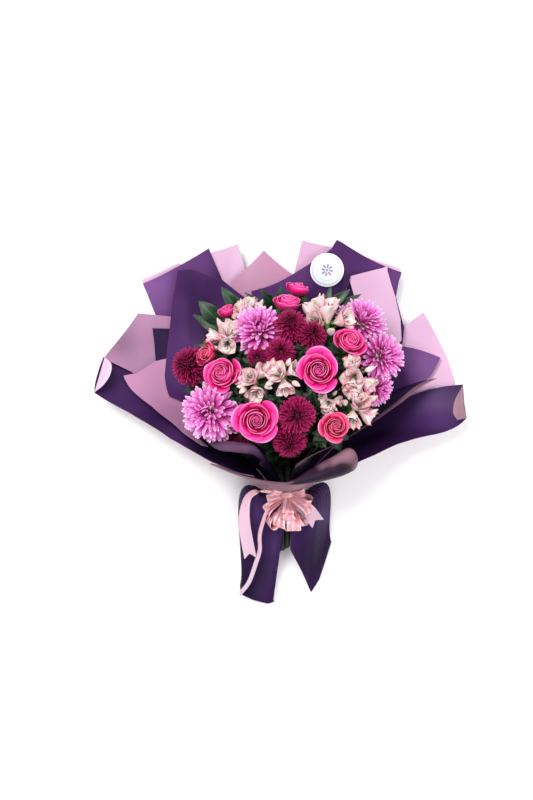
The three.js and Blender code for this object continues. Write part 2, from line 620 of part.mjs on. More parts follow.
function bow() {
  const knot = [10, TIE.y - 9, TIE.z + bandOuter + GAP + 5.6];
  const ball = new THREE.SphereGeometry(6.5, 6, 4).scale(1.3, 1, 1).translate(...knot);
  const [x, y, z] = knot;
  const loops = [
    [0, [[x - 5, y, z + 2], [-10, -116, 86], [-17, -140, 84], [-14, -154, 76], [-4, -130, 67],
      [x - 4, y, z - 3]]],
    [0, [[x, y, z + 3], [4, -116, 94], [4, -142, 92], [5, -156, 82], [8, -134, 70], [x, y, z]]],
    [30, [[x + 4, y, z + 3], [22, -114, 88], [29, -136, 88], [30, -147, 80], [22, -126, 70],
      [x + 4, y, z]]],
    [90, [[x + 5, y, z + 2], [28, -105, 84], [46, -110, 84], [49, -116, 76], [30, -108, 70],
      [x + 6, y, z]]],
    [90, [[x - 5, y, z + 3], [-8, -105, 84], [-21, -110, 84], [-24, -116, 76], [-8, -108, 72],
      [x - 6, y, z]]],
  ];
  const short = [[x + 5, y - 2, z - 2], [28, -116, 68], [41, -128, 68], [47, -143, 64]];
  const broad = [[x - 6, y, z - 2], [-22, -104, 72], [-46, -117, 66], [-56, -150, 56], [-50, -188, 50]];
  const thin = [[x - 3, y - 3, z - 3], [-18, -134, 74], [-30, -166, 68], [-36, -205, 52], [-58, -254, 24]];
  const tails = [satin(short, 20, 20, 3, 8), satin(broad, 18, 4, 5, 9), satin(thin, 5, 0, 5)];
  return [ball, ...tails, ...loops.map(([lean, places]) => satin(places, 14, lean, 4))];
}

// ---- Sticker ----
// A round label that lies on the flat facet of its sheet near the rim.
function sticker() {
  const { radius, thick, layer, angle, foot, head, share, lift } = STICKER;
  const low = onLayer(angle, foot, layer);
  const high = onLayer(angle, head, layer);
  const across = onLayer(angle + 5, head, layer).sub(onLayer(angle - 5, head, layer));
  const face = across.cross(high.clone().sub(low)).normalize();
  const place = low.lerp(high, share).addScaledVector(face, (FILM + thick) / 2 + lift);
  const disc = new THREE.CylinderGeometry(radius, radius, thick, 16).rotateX(Math.PI / 2);
  return aim(disc, place, face);
}

// ---- The bouquet ----
const bouquet = new THREE.Group();

function addPiece(name, geometry, colour, roughness, centre = point(0, 0, 0)) {
  const { position } = geometry.attributes;
  if (signedVolume(position.array, geometry.index.array) < 0) geometry.index.array.reverse();
  const material = new THREE.MeshStandardMaterial({ color: COLOURS[colour], roughness, metalness: 0 });
  const mesh = new THREE.Mesh(geometry.translate(-centre.x, -centre.y, -centre.z), material);
  mesh.name = name;
  mesh.position.copy(centre);
  bouquet.add(mesh);
}

for (const head of HEADS) {
  const pieces = head.make(head.R).map((piece) => solid(aim(piece, head.centre, head.way)));
  const body = clearOfNeighbours(join(pieces), head);
  addPiece(head.name, geometryOf(body), head.colour, 0.7, head.centre);
}

const slots = spreadSlots([
  ...HEADS.map((head) => neckSlot(stemTop(head))), ...SPRIGS.map(([, end]) => neckSlot(point(...end)))]);
const headRoom = join(HEADS.map(envelopeOf));
const allStems = (half) => HEADS.map((head, k) =>
  solid(stemAlong(stemTop(head), head.way, slots[k], half)));
const packed = new THREE.CylinderGeometry(STEM_BUNDLE, STEM_BUNDLE, PACKED, 8).translate(...TIE.toArray());
const collarGuard = join(FAN_SHEETS.map(([, , radius, bellies, columns]) =>
  solid(fanSheet(radius, bellies, columns, FILM + 2 * GAP))));
const stems = join([solid(packed), ...allStems(STEM)]).subtract(headRoom).subtract(collarGuard);
addPiece('stems', geometryOf(biggest(stems)), 'stem', 0.7);

const stemGuard = join([
  solid(new THREE.CylinderGeometry(STEM_BUNDLE + 2 * GAP, STEM_BUNDLE + 2 * GAP, PACKED + 2 * GAP, 8)
    .translate(...TIE.toArray())), ...allStems(STEM + 2 * GAP)]);
let taken = headRoom.add(stemGuard).add(collarGuard);
SPRIGS.forEach((sprig, k) => {
  const slot = slots[HEADS.length + k];
  addPiece(sprig[0], geometryOf(biggest(sprigBody(sprig, slot).subtract(taken))), 'leaf', 0.6);
  taken = taken.add(sprigBody(sprig, slot, SPRIG + 2 * GAP));
});

for (const [name, colour, layer, corners] of CUP_SHEETS) {
  addPiece(name, cupSheet(layer, corners), colour, 0.5);
}
for (const [name, colour, radius, bellies, columns] of FAN_SHEETS) {
  addPiece(name, fanSheet(radius, bellies, columns), colour, 0.5);
}
addPiece('collar_front', frontCollar(), 'mauve', 0.5);
addPiece('tail_left', filmTail(TAIL_LEFT), 'purple', 0.5);
addPiece('tail_right', filmTail(TAIL_RIGHT), 'purple', 0.5);
addPiece('ribbon_band', geometryOf(solid(band())), 'satin', 0.35);
addPiece('ribbon_bow', geometryOf(biggest(join(bow().map(solid)))), 'satin', 0.35);
addPiece('sticker', geometryOf(solid(sticker())), 'label', 0.4);

// The origin is the middle of the bouquet's underside.
const box = new THREE.Box3().setFromObject(bouquet);
const middle = box.getCenter(point());
bouquet.position.set(-middle.x, -middle.y, -box.min.z);

export default bouquet;
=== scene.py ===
# Mixed flower bouquet in its two-tone film wrapper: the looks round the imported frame.
import math

import bpy
import numpy as np
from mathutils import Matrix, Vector


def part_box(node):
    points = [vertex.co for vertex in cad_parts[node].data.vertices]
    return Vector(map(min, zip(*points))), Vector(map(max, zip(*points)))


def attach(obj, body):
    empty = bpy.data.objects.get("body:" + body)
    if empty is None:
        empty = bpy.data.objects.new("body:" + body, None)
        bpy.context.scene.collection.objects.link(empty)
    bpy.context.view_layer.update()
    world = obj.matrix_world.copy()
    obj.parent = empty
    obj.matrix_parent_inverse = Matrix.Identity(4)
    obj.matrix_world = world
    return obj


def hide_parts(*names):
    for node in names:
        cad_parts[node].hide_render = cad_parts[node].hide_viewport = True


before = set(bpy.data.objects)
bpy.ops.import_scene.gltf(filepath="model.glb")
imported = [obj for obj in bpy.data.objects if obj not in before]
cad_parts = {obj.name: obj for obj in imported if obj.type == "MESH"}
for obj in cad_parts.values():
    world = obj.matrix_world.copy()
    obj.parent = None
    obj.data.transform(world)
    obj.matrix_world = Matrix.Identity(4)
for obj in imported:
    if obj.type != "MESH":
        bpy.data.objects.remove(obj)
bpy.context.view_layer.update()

GOLDEN = math.radians(137.508)
UP = np.array([0.0, 0.0, 1.0])
BLACK, WHITE = (0, 0, 0, 1), (1, 1, 1, 1)
scene = bpy.context.scene

# ---- The frame: lengths below are millimetres from the solids' own origin ----
TIE = np.array([7.0, -95.0, 30.0])
NECK = 26.0                    # radius of the film where it is tied
BAND_MIDDLE = TIE + np.array([0.0, -6.6, 0.0])
band_low, band_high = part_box("ribbon_band")
SHIFT = np.array((band_low + band_high) / 2) * 1000 - BAND_MIDDLE


def srgb(r, g, b):
    """An sRGB colour of 0 to 255 as a linear one."""
    c = np.array([r, g, b]) / 255
    c = np.where(c <= 0.04045, c / 12.92, ((c + 0.055) / 1.055) ** 2.4)
    return (*c.tolist(), 1.0)


def unit(v):
    v = np.asarray(v, float)
    return v / np.maximum(np.linalg.norm(v, axis=-1, keepdims=True), 1e-12)


def smooth(x, low=0.0, high=1.0):
    x = np.clip((x - low) / (high - low), 0, 1)
    return x * x * (3 - 2 * x)


def lerp(a, b, t):
    return a + (b - a) * t


def level(angle):
    """The level way at an angle."""
    return np.array([math.cos(angle), math.sin(angle), 0])


def polar(radius, angle, height):
    return np.stack(np.broadcast_arrays(radius * np.cos(angle), radius * np.sin(angle), height), -1)


def basis(way, spin=0.0):
    """Rotation that takes +Z to a way, after a spin about Z."""
    w = unit(way)
    v, c = np.cross(UP, w), float(UP @ w)
    k = np.array([[0, -v[2], v[1]], [v[2], 0, -v[0]], [-v[1], v[0], 0]])
    turn = np.eye(3) + k + k @ k / (1 + c)
    s, co = math.sin(spin), math.cos(spin)
    return turn @ np.array([[co, -s, 0], [s, co, 0], [0, 0, 1]])


def catmull(a, b, c, d, f):
    """Catmull-Rom between b and c."""
    return 0.5 * (2 * b + (c - a) * f + (2 * a - 5 * b + 4 * c - d) * f**2
                  + (3 * b - a - 3 * c + d) * f**3)


def spline(points, count):
    """A smooth curve through the points, at even steps of its length."""
    p = np.asarray(points, float)
    p = np.vstack([2 * p[0] - p[1], p, 2 * p[-1] - p[-2]])
    last = len(p) - 3
    fine = []
    for k in range(1, last + 1):
        f = np.linspace(0, 1, 24, endpoint=k == last)[:, None]
        fine.append(catmull(*p[k - 1:k + 3], f))
    fine = np.vstack(fine)
    length = np.concatenate([[0], np.cumsum(np.linalg.norm(np.diff(fine, axis=0), axis=1))])
    at = np.linspace(0, length[-1], count)
    return np.stack([np.interp(at, length, fine[:, k]) for k in range(fine.shape[1])], -1)


# ---- Meshes ----
class Cloud:
    """Vertices, faces, material numbers and a few values per vertex, gathered piece by piece."""

    def __init__(self):
        self.verts, self.faces, self.slots, self.count = [], [], [], 0
        self.values = {"tip": [], "tone": [], "across": []}

    def grid(self, points, slot=0, **values):
        """points: array (rows, columns, 3); slot: one number, or one for each row of faces."""
        rows, columns = points.shape[:2]
        index = self.count + np.arange(rows * columns).reshape(rows, columns)
        quads = np.stack([index[:-1, :-1], index[:-1, 1:], index[1:, 1:], index[1:, :-1]], -1)
        self.verts.append(points.reshape(-1, 3))
        self.faces.append(quads.reshape(-1, 4))
        slots = np.broadcast_to(np.asarray(slot).reshape(-1, 1), (rows - 1, columns - 1))
        self.slots.append(slots.reshape(-1))
        self.count += rows * columns
        for key, store in self.values.items():
            value = np.broadcast_to(values.get(key, 0.0), (rows, columns))
            store.append(value.reshape(-1))

    def place(self, start, rotation, scale, centre):
        """Turns, scales and moves every grid from number start on."""
        for k in range(start, len(self.verts)):
            self.verts[k] = self.verts[k] @ rotation.T * scale + centre

    def build(self, name, materials, thick=0.0, levels=0, node=None, slot=None, film=False):
        """A film has sharp edges, and the next material on its other face and one more on its rim."""
        mesh = bpy.data.meshes.new(name)
        verts = (np.vstack(self.verts) + SHIFT) / 1000
        mesh.from_pydata(verts.tolist(), [], np.vstack(self.faces).tolist())
        for key, store in self.values.items():
            layer = mesh.attributes.new(key, "FLOAT", "POINT")
            layer.data.foreach_set("value", np.concatenate(store).astype(np.float32))
        for material in materials:
            mesh.materials.append(material)
        mesh.polygons.foreach_set("material_index", np.concatenate(self.slots).astype(np.int32))
        mesh.shade_smooth()
        piece = bpy.data.objects.new(name, mesh)
        scene.collection.objects.link(piece)
        if levels:
            soften = piece.modifiers.new("soften", "SUBSURF")
            soften.levels = soften.render_levels = levels
        if thick:
            skin = piece.modifiers.new("skin", "SOLIDIFY")
            skin.thickness = thick / 1000
            skin.offset = 0
        if film:
            crisp_border(mesh)
            skin.material_offset, skin.material_offset_rim = 1, 2
        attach(piece, "root")
        if node:
            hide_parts(node)
        return piece


def crisp_border(mesh):
    """Keeps the film's cut edges sharp in the shading."""
    used = np.empty(len(mesh.loops), np.int32)
    mesh.loops.foreach_get("edge_index", used)
    border = np.bincount(used, minlength=len(mesh.edges)) == 1
    sharp = mesh.attributes.new("sharp_edge", "BOOLEAN", "EDGE")
    sharp.data.foreach_set("value", border)


def tube(cloud, path, radius, sides=8, slot=0, **values):
    """A closed round tube along a path, with one radius or one per point."""
    path = np.asarray(path, float)
    tangent = unit(np.gradient(path, axis=0))
    side = unit(np.cross(tangent, [0.13, 0.2, 0.97]))
    up = np.cross(side, tangent)
    radius = np.broadcast_to(radius, len(path)).astype(float)
    turn = np.linspace(0, 2 * np.pi, sides + 1)[None, :, None]
    ring = side[:, None] * np.cos(turn) + up[:, None] * np.sin(turn)
    points = path[:, None] + ring * radius[:, None, None]
    start, end = [np.repeat(path[k][None, None], sides + 1, 1) for k in (0, -1)]
    cloud.grid(np.concatenate([start, points, end]), slot, **values)


# ---- Materials ----
class Nodes:
    """Shorthand for building one node tree."""

    def __init__(self, name):
        self.material = bpy.data.materials.new(name)
        self.material.use_nodes = True
        self.tree = self.material.node_tree
        self.shader = self.tree.nodes["Principled BSDF"]

    def add(self, kind, inputs, **settings):
        node = self.tree.nodes.new(kind)
        for key, value in settings.items():
            setattr(node, key, value)
        for key, value in inputs.items():
            self.put(node, key, value)
        return node

    def put(self, node, key, value):
        if isinstance(value, bpy.types.NodeSocket):
            self.tree.links.new(value, node.inputs[key])
        else:
            node.inputs[key].default_value = value

    def attribute(self, name):
        return self.add("ShaderNodeAttribute", {}, attribute_name=name).outputs["Fac"]

    def noise(self, scale, detail=3.0, rough=0.5, vector=None, distortion=0.0):
        vector = vector or self.add("ShaderNodeTexCoord", {}).outputs["Object"]
        return self.add("ShaderNodeTexNoise", {
            "Scale": scale, "Detail": detail, "Roughness": rough, "Distortion": distortion,
            "Vector": vector}).outputs["Fac"]

    def wave(self, value, **inputs):
        """Bands across a value of the mesh."""
        inputs = {key.replace("_", " "): number for key, number in inputs.items()}
        return self.add("ShaderNodeTexWave", {"Vector": self.combine(value), **inputs}).outputs["Fac"]

    def ramp(self, fac, stops):
        node = self.add("ShaderNodeValToRGB", {"Fac": fac})
        elements = node.color_ramp.elements
        while len(elements) > 1:
            elements.remove(elements[-1])
        elements[0].position, elements[0].color = stops[0]
        for position, colour in stops[1:]:
            elements.new(position).color = colour
        return node.outputs["Color"]

    def blend(self, value, low, high, first=BLACK, last=WHITE):
        """From the first colour to the last one, as the value goes from low to high."""
        return self.ramp(value, [(low, first), (high, last)])

    def mix(self, fac, a, b, blend="MIX"):
        node = self.add("ShaderNodeMix", {0: fac, 6: a, 7: b}, data_type="RGBA", blend_type=blend)
        return node.outputs[2]

    def math(self, operation, a, b=0.0, clamp=False):
        node = self.add("ShaderNodeMath", {0: a, 1: b}, operation=operation, use_clamp=clamp)
        return node.outputs[0]

    def times(self, a, b, clamp=False):
        return self.math("MULTIPLY", a, b, clamp)

    def plus(self, a, b):
        return self.math("ADD", a, b)

    def size(self, value):
        return self.math("ABSOLUTE", value)

    def combine(self, x, y=0.0):
        return self.add("ShaderNodeCombineXYZ", {"X": x, "Y": y}).outputs[0]

    def bump(self, height, strength, distance):
        return self.add("ShaderNodeBump", {
            "Height": height, "Strength": strength, "Distance": distance}).outputs["Normal"]

    def finish(self, **inputs):
        for key, value in inputs.items():
            self.put(self.shader, key.replace("_", " "), value)
        return self.material


SHADE = srgb(26, 14, 38)


def film(name, dark, light, pale=None, roughness=0.42):
    """Pearly film: slow drifts of tone, painted highlights (the pale colour, where tone is positive),
    painted shade (towards SHADE, where tone is negative), fine crinkles.
    """
    n = Nodes(name)
    colour = n.blend(n.noise(8, 2, distortion=0.6), 0.32, 0.68, srgb(*dark), srgb(*light))
    tone = n.attribute("tone")
    # Painted highlight: the pale colour, mixed in where the piece's tone is positive.
    if pale:
        bloom = n.times(tone, n.plus(n.noise(14, 2), 0.5), clamp=True)
        colour = n.mix(bloom, colour, srgb(*pale))
    # Painted shade: towards SHADE, where the tone is negative.
    colour = n.mix(n.times(tone, -1.0, clamp=True), colour, SHADE)
    crinkles = n.plus(n.noise(42, distortion=0.5), n.times(n.noise(900, 2, 0.6), 0.03))
    return n.finish(Base_Color=colour, Roughness=roughness, Normal=n.bump(crinkles, 0.22, 0.001),
                    Specular_IOR_Level=0.1, Coat_Weight=0.02, Coat_Roughness=0.4)


# A film's third colour, where given, is its painted highlight colour, mixed in by a piece's tone.
PURPLE = film("film_purple", (50, 22, 66), (80, 42, 102), (164, 110, 182))
# The wings' purple film painted darker: painted shade, as the wings lie lower, in shade.
WING_IN_SHADE = film("film_wing", (30, 12, 44), (50, 24, 68), (132, 84, 166))
# The purple film painted nearly black: painted deep shade for the collars' inner faces and a shaded
# corner sheet; its pale colour is a painted highlight.
DEEP_SHADE_PURPLE = film("film_navy", (24, 16, 44), (44, 28, 66), (232, 200, 220))
PINK = film("film_pink", (204, 164, 194), (221, 185, 212), roughness=0.5)
# The pink film painted greyer and darker: painted shade on the left pink sheet.
SHADED_LILAC_PINK = film("film_lilac_pink", (160, 118, 154), (180, 136, 168), (200, 154, 184), 0.5)
ROSY = film("film_rosy", (180, 127, 158), (197, 149, 178), roughness=0.48)
ARROW = film("film_arrow", (176, 122, 158), (196, 142, 178), roughness=0.48)
# The pink reverse painted dark, as it looks in shade, on the collars' rolls and hem; the pale colours are
# painted highlights.
SHADED_MAUVE = film("film_mauve", (34, 18, 34), (54, 32, 48), (176, 130, 148))
SHADED_PLUM = film("film_plum", (42, 22, 50), (70, 42, 72), (140, 98, 130))
SHADED_HEM = film("film_hem", (96, 64, 80), (132, 96, 112))
SHADED = film("film_shaded_pink", (112, 80, 92), (150, 114, 126))
# The tails' purple film painted darker: painted shade, as the tails lie in shade.
TAIL_IN_SHADE = film("film_tail", (30, 12, 46), (50, 22, 72), (104, 70, 150))
EDGE = film("film_edge", (150, 112, 146), (186, 146, 178), roughness=0.45)


def petal(name, stops, tone=(), roughness=0.55, sheen=0.25, vein=0.35):
    """A petal: colour runs from base to tip, tone darkens it, with veins and a velvety sheen."""
    n = Nodes(name)
    colour = n.ramp(n.attribute("tip"), [(at, srgb(*c)) for at, c in stops])
    if tone:
        shade = n.ramp(n.attribute("tone"), [(at, (*c, 1)) for at, c in tone])
        colour = n.mix(1.0, colour, shade, "MULTIPLY")
    mottled = n.blend(n.noise(160), 0.3, 0.7, (0.82, 0.8, 0.82, 1))
    colour = n.mix(0.8, colour, mottled, "MULTIPLY")
    ribs = n.wave(n.attribute("across"), Scale=3.2, Distortion=1.5, Detail=2.0, Detail_Scale=2.0)
    height = n.plus(n.times(ribs, 0.5), n.noise(700, 2))
    return n.finish(Base_Color=colour, Roughness=roughness, Normal=n.bump(height, vein, 0.0004),
                    Specular_IOR_Level=0.25, Sheen_Weight=sheen, Sheen_Roughness=0.4,
                    Subsurface_Weight=0.05, Subsurface_Radius=(0.004, 0.0015, 0.002),
                    Subsurface_Scale=1.0)


def tepal(name, streaks):
    """Alstroemeria: cream, a pink blush and margins, a green stripe and tip, dashes on some."""
    n = Nodes(name)
    along, across = n.attribute("tip"), n.attribute("across")
    aside = n.size(across)
    body = n.ramp(along, [(0.0, srgb(150, 172, 84)), (0.14, srgb(236, 230, 204)),
                          (0.4, srgb(252, 246, 242)), (0.8, srgb(255, 250, 252)),
                          (1.0, srgb(250, 226, 230))])
    margin = n.blend(aside, 0.45, 1.0, WHITE, srgb(240, 100, 146))
    body = n.mix(n.times(n.attribute("tone"), 0.9), body, margin, "MULTIPLY")
    blush = n.times(n.blend(n.noise(55, 2), 0.45, 0.7), 0.6)
    body = n.mix(blush, body, n.mix(1.0, body, srgb(240, 164, 196), "MULTIPLY"))
    tip = n.times(n.blend(along, 0.76, 0.92), n.blend(aside, 0.25, 0.75, WHITE, BLACK))
    stripe = n.times(n.blend(along, 0.45, 0.75), n.blend(aside, 0.1, 0.45, WHITE, BLACK))
    body = n.mix(n.times(n.math("MAXIMUM", tip, stripe), 0.6), body, srgb(132, 166, 58))
    if streaks:
        dashes = n.noise(1.0, 1, 0.4, n.combine(n.times(across, 7.0), n.times(along, 4.5)))
        band = n.ramp(along, [(0.22, BLACK), (0.36, WHITE), (0.7, WHITE), (0.82, BLACK)])
        mask = n.times(n.blend(dashes, 0.56, 0.6), band)
        body = n.mix(n.times(mask, 0.85), body, srgb(112, 22, 50))
    return n.finish(Base_Color=body, Roughness=0.5, Normal=n.bump(n.noise(500), 0.2, 0.0003),
                    Specular_IOR_Level=0.3, Sheen_Weight=0.1, Subsurface_Weight=0.1,
                    Subsurface_Radius=(0.003, 0.002, 0.0015), Subsurface_Scale=1.0)


def leafy(name, deep, fresh, rib, rough=0.36, coat=0.2):
    """Green: mottled, darker where tone is low, with a pale middle rib and slanted veins."""
    n = Nodes(name)
    aside, along = n.size(n.attribute("across")), n.attribute("tip")
    body = n.mix(n.blend(n.noise(70), 0.3, 0.7), srgb(*deep), srgb(*fresh))
    shade = n.blend(n.attribute("tone"), 0.0, 1.0, (0.5, 0.55, 0.5, 1))
    body = n.mix(1.0, body, shade, "MULTIPLY")
    middle = n.math("SUBTRACT", 1.0, n.times(aside, 9.0), clamp=True)
    colour = n.mix(n.times(middle, 0.7), body, srgb(*rib))
    veins = n.wave(n.plus(aside, n.times(along, 3.0)), Scale=2.2, Distortion=0.4, Detail=1.0)
    height = n.plus(n.times(veins, 0.5), n.times(middle, -1.2))
    return n.finish(Base_Color=colour, Roughness=rough, Normal=n.bump(height, 0.5, 0.0004),
                    Coat_Weight=coat, Coat_Roughness=0.25, Subsurface_Weight=0.03,
                    Subsurface_Radius=(0.001, 0.003, 0.0008), Subsurface_Scale=1.0)


def satin():
    """Ribbon: a painted sheen of pale highlight streaks and deeper shaded ones along it, a fine weave,
    and lilac towards the tails' ends.
    """
    n = Nodes("satin")
    across, along = n.attribute("across"), n.attribute("tip")
    weave = n.noise(1.0, 2, 0.5, n.combine(n.times(across, 60.0), n.times(along, 8.0)))
    # Painted sheen: pale highlight streaks and deep shaded ones along the satin.
    streaks = n.noise(1.0, 2, 0.5, n.combine(n.times(across, 2.2), n.times(along, 5.0)), 0.8)
    colour = n.ramp(streaks, [(0.34, srgb(206, 128, 138)), (0.5, srgb(228, 160, 170)),
                              (0.64, srgb(250, 216, 224))])
    colour = n.mix(n.attribute("tone"), colour, srgb(204, 170, 190))
    return n.finish(Base_Color=colour, Roughness=0.24, Normal=n.bump(weave, 0.12, 0.0003),
                    Anisotropic=0.5, Specular_IOR_Level=0.8, Coat_Weight=0.3, Coat_Roughness=0.2)


# Petal colours run from a dark base to a pale lip: partly the petals' own colour, partly painted shade
# deep between the petals.
ROSE = petal("rose_petal",
             [(0.0, (140, 2, 62)), (0.4, (212, 6, 100)), (0.72, (238, 26, 134)),
              (0.92, (246, 70, 162)), (1.0, (253, 150, 206))],
             [(0.0, (0.95, 0.5, 0.66)), (0.35, (1, 0.75, 0.85)), (0.8, (1, 1, 1))], sheen=0.08)
DEEP_ROSE = petal("deep_rose_petal",
                  [(0.0, (120, 2, 36)), (0.45, (206, 16, 76)), (0.8, (228, 40, 106)),
                   (0.94, (240, 92, 148)), (1.0, (248, 160, 190))],
                  [(0.0, (0.85, 0.42, 0.5)), (0.85, (1, 0.95, 0.95))], sheen=0.08)
# Rays darker magenta towards the base: partly their own colour, partly painted shade between the layered
# rays; pale tips.
LILAC = petal("lilac_ray",
              [(0.0, (128, 12, 82)), (0.25, (220, 56, 168)), (0.6, (246, 108, 208)),
               (0.88, (252, 164, 232)), (1.0, (255, 220, 248))],
              [(0.0, (0.9, 0.6, 0.85)), (0.4, (1, 1, 1))], sheen=0.1, vein=0.5)
# Rays near black at the base: painted shade in the gaps between rays; crimson towards the tips.
BURGUNDY = petal("burgundy_ray",
                 [(0.0, (16, 0, 8)), (0.35, (72, 0, 34)), (0.72, (140, 2, 68)),
                  (0.92, (182, 14, 92)), (1.0, (222, 58, 134))],
                 [(0.0, (0.35, 0.3, 0.35)), (0.3, (0.85, 0.8, 0.85)), (1.0, (1, 1, 1))],
                 sheen=0.0, vein=0.5)
ANTHER = petal("anther", [(0.0, (226, 190, 150)), (1.0, (120, 96, 60))], roughness=0.7)
CREAM = tepal("cream_tepal", False)
STREAKED = tepal("streaked_tepal", True)
CALYX = leafy("calyx", (44, 82, 36), (80, 122, 54), (112, 150, 78), 0.5, 0.05)
LEAF = leafy("leaf", (14, 44, 28), (34, 76, 44), (62, 108, 64))
SMALL_LEAF = leafy("small_leaf", (12, 36, 18), (38, 72, 32), (64, 100, 50), 0.45, 0.08)
# Stalks in a very dark green: partly the stems' own colour, partly painted shade for the dark inside of
# the wrapper.
STALK = leafy("stalk", (18, 32, 18), (34, 52, 26), (34, 52, 26), 0.5, 0.05)
SATIN = satin()


# ---- Camera, light, floor ----
CAMERA_AT = [-20, 33.6, 1600]
LENS, SENSOR = 47.52, 36
FLOOR = 4.0                    # metres from the middle of the floor to its sides


def look_down():
    camera = bpy.data.cameras.new("camera")
    camera.lens, camera.sensor_width = LENS, SENSOR
    camera.clip_end = 20
    holder = bpy.data.objects.new("camera", camera)
    holder.location = (np.array(CAMERA_AT) + SHIFT) / 1000
    scene.collection.objects.link(holder)
    scene.camera = holder


def area_light(name, place, size, power, colour=(1, 1, 1)):
    light = bpy.data.lights.new(name, "AREA")
    light.energy, light.size, light.color = power, size, colour
    holder = bpy.data.objects.new(name, light)
    holder.location = place
    way = Vector((0, 0, 0.05)) - Vector(place)
    holder.rotation_euler = way.to_track_quat("-Z", "Y").to_euler()
    scene.collection.objects.link(holder)


def studio():
    world = bpy.data.worlds.new("studio")
    world.use_nodes = True
    background = world.node_tree.nodes["Background"].inputs
    background["Color"].default_value = (0.96, 0.97, 1.0, 1)
    background["Strength"].default_value = 0.62
    scene.world = world
    area_light("key", (-0.6, 0.8, 1.9), 0.9, 36, (1, 0.985, 0.97))
    area_light("fill", (1.3, -0.3, 1.7), 1.4, 20)
    area_light("front", (-0.3, -1.6, 0.9), 1.0, 7, (1, 0.97, 0.98))
    mesh = bpy.data.meshes.new("floor")
    corners = [(x * FLOOR, y * FLOOR, 0) for x, y in ((-1, -1), (1, -1), (1, 1), (-1, 1))]
    mesh.from_pydata(corners, [], [(0, 1, 2, 3)])
    floor = bpy.data.objects.new("floor", mesh)
    floor.location.z = -0.0004
    scene.collection.objects.link(floor)
    n = Nodes("floor")
    tone = n.blend(n.noise(3, 2), 0.3, 0.7, (0.93, 0.93, 0.935, 1), (0.96, 0.96, 0.965, 1))
    mesh.materials.append(n.finish(Base_Color=tone, Roughness=0.6))
    scene.view_settings.view_transform = "Standard"


# ---- The wrapper's cup: an angle goes round the tie, and along runs from it to the rim ----
FILM = 0.45
STATION = 30                   # degrees between the points of the rim
RIM = np.array([
    [276, 6, 40], [165, -35, 92], [85, -66, 160], [8, -75, 193], [-64, -65, 158], [-150, -31, 96],
    [-276, 45, 42], [-238, 163, 28], [-133, 251, 26], [0, 268, 26], [133, 251, 26], [238, 158, 28],
], float)
BELLY = np.array([
    [-8, 32, -20], [-4, 12, -6], [0, -4, 0], [0, -8, 0], [0, -4, 0], [4, 12, -6],
    [8, 32, -20], [0, 18, -30], [0, 4, -28], [0, 0, -28], [0, 4, -28], [0, 18, -30]], float)
NECK_LAYER, OPEN_LAYER, OPEN_AT = 1.8, 5.0, 0.3
FLOOR_LIFT = 0.4
FLOOR_EASE, FOLD_EASE = 6, 3   # how softly film meets the floor, and a fold begins
REACH = 270                    # film from the tie to the rim, about


def ring_value(table, angle):
    place = np.mod(angle, 360) / STATION
    first = np.floor(place).astype(int)
    near = [table[(first + k) % len(table)] for k in (-1, 0, 1, 2)]
    return catmull(*near, (place - first)[..., None])


def neck_point(angle, radius=NECK):
    a = np.radians(angle)
    return TIE + np.stack([radius * np.cos(a), np.zeros_like(a), radius * np.sin(a)], -1)


def cup(angle, along):
    angle, along = np.broadcast_arrays(np.asarray(angle, float), np.asarray(along, float))
    t = along[..., None]
    sag = np.where(t < 1, 4 * t * (1 - t), 0)
    p = neck_point(angle) * (1 - t) + ring_value(RIM, angle) * t + ring_value(BELLY, angle) * sag
    above = p[..., 2] - FLOOR_LIFT
    p[..., 2] = FLOOR_LIFT + (above + np.sqrt(above * above + FLOOR_EASE**2)) / 2
    return p


def inward(angle, along):
    near = np.maximum(along - 0.01, 0)
    across = cup(angle + 0.5, along) - cup(angle - 0.5, along)
    return unit(np.cross(across, cup(angle, near + 0.02) - cup(angle, near)))


def flutes(angle, along):
    """Soft flutes that fan out from the tie, and pleats where the film is gathered."""
    a = np.radians(angle)
    wide = 1.2 * np.sin(7 * a + 0.6) + 0.9 * np.sin(13 * a + 2.1 + 1.5 * along)
    wide = wide + 0.4 * np.sin(23 * a + 0.4)
    tight = 0.5 * np.sin(41 * a) * (1 - smooth(along, 0.08, 0.5))
    return 0.6 * wide * smooth(along, 0.25, 1.0) + tight


def on_layer(angle, along, layer, lift=0.0):
    """A place on one of the layers, which are counted inwards and spread out past the tie."""
    step = NECK_LAYER + (OPEN_LAYER - NECK_LAYER) * np.minimum(along / OPEN_AT, 1)
    off = layer * step + flutes(angle, along) + lift
    p = cup(angle, along) + inward(angle, along) * np.asarray(off)[..., None]
    p[..., 2] = np.maximum(p[..., 2], FLOOR_LIFT)
    return p


def flat_film(angle, along):
    a = np.radians(angle)
    return np.stack([along * np.cos(a), along * np.sin(a)], -1)


def edge_of(corners):
    """The sheet's outer edge as [angle, along], straight between corners in the flat film."""
    corners = np.array(corners, float)
    flat = flat_film(corners[:, 0], corners[:, 1])
    edge = []
    for k in range(len(corners) - 1):
        steps = max(2, math.ceil(abs(corners[k + 1, 0] - corners[k, 0])))
        for i in range(1 if k else 0, steps + 1):
            p = flat[k] + (flat[k + 1] - flat[k]) * i / steps
            angle = math.degrees(math.atan2(p[1], p[0]))
            edge.append([angle + 360 * round((corners[k, 0] - angle) / 360), np.hypot(*p)])
    return np.array(edge)


def fold(angle, along, start, end, slope):
    """Film past a straight fold tilts; start and end are [angle, along], past is to its right."""
    a, b = flat_film(*np.array(start, float)), flat_film(*np.array(end, float))
    way = unit(b - a)
    off = flat_film(angle, along) - a
    past = (off[..., 0] * way[1] - off[..., 1] * way[0]) * REACH
    return slope * (past + np.sqrt(past * past + FOLD_EASE**2)) / 2
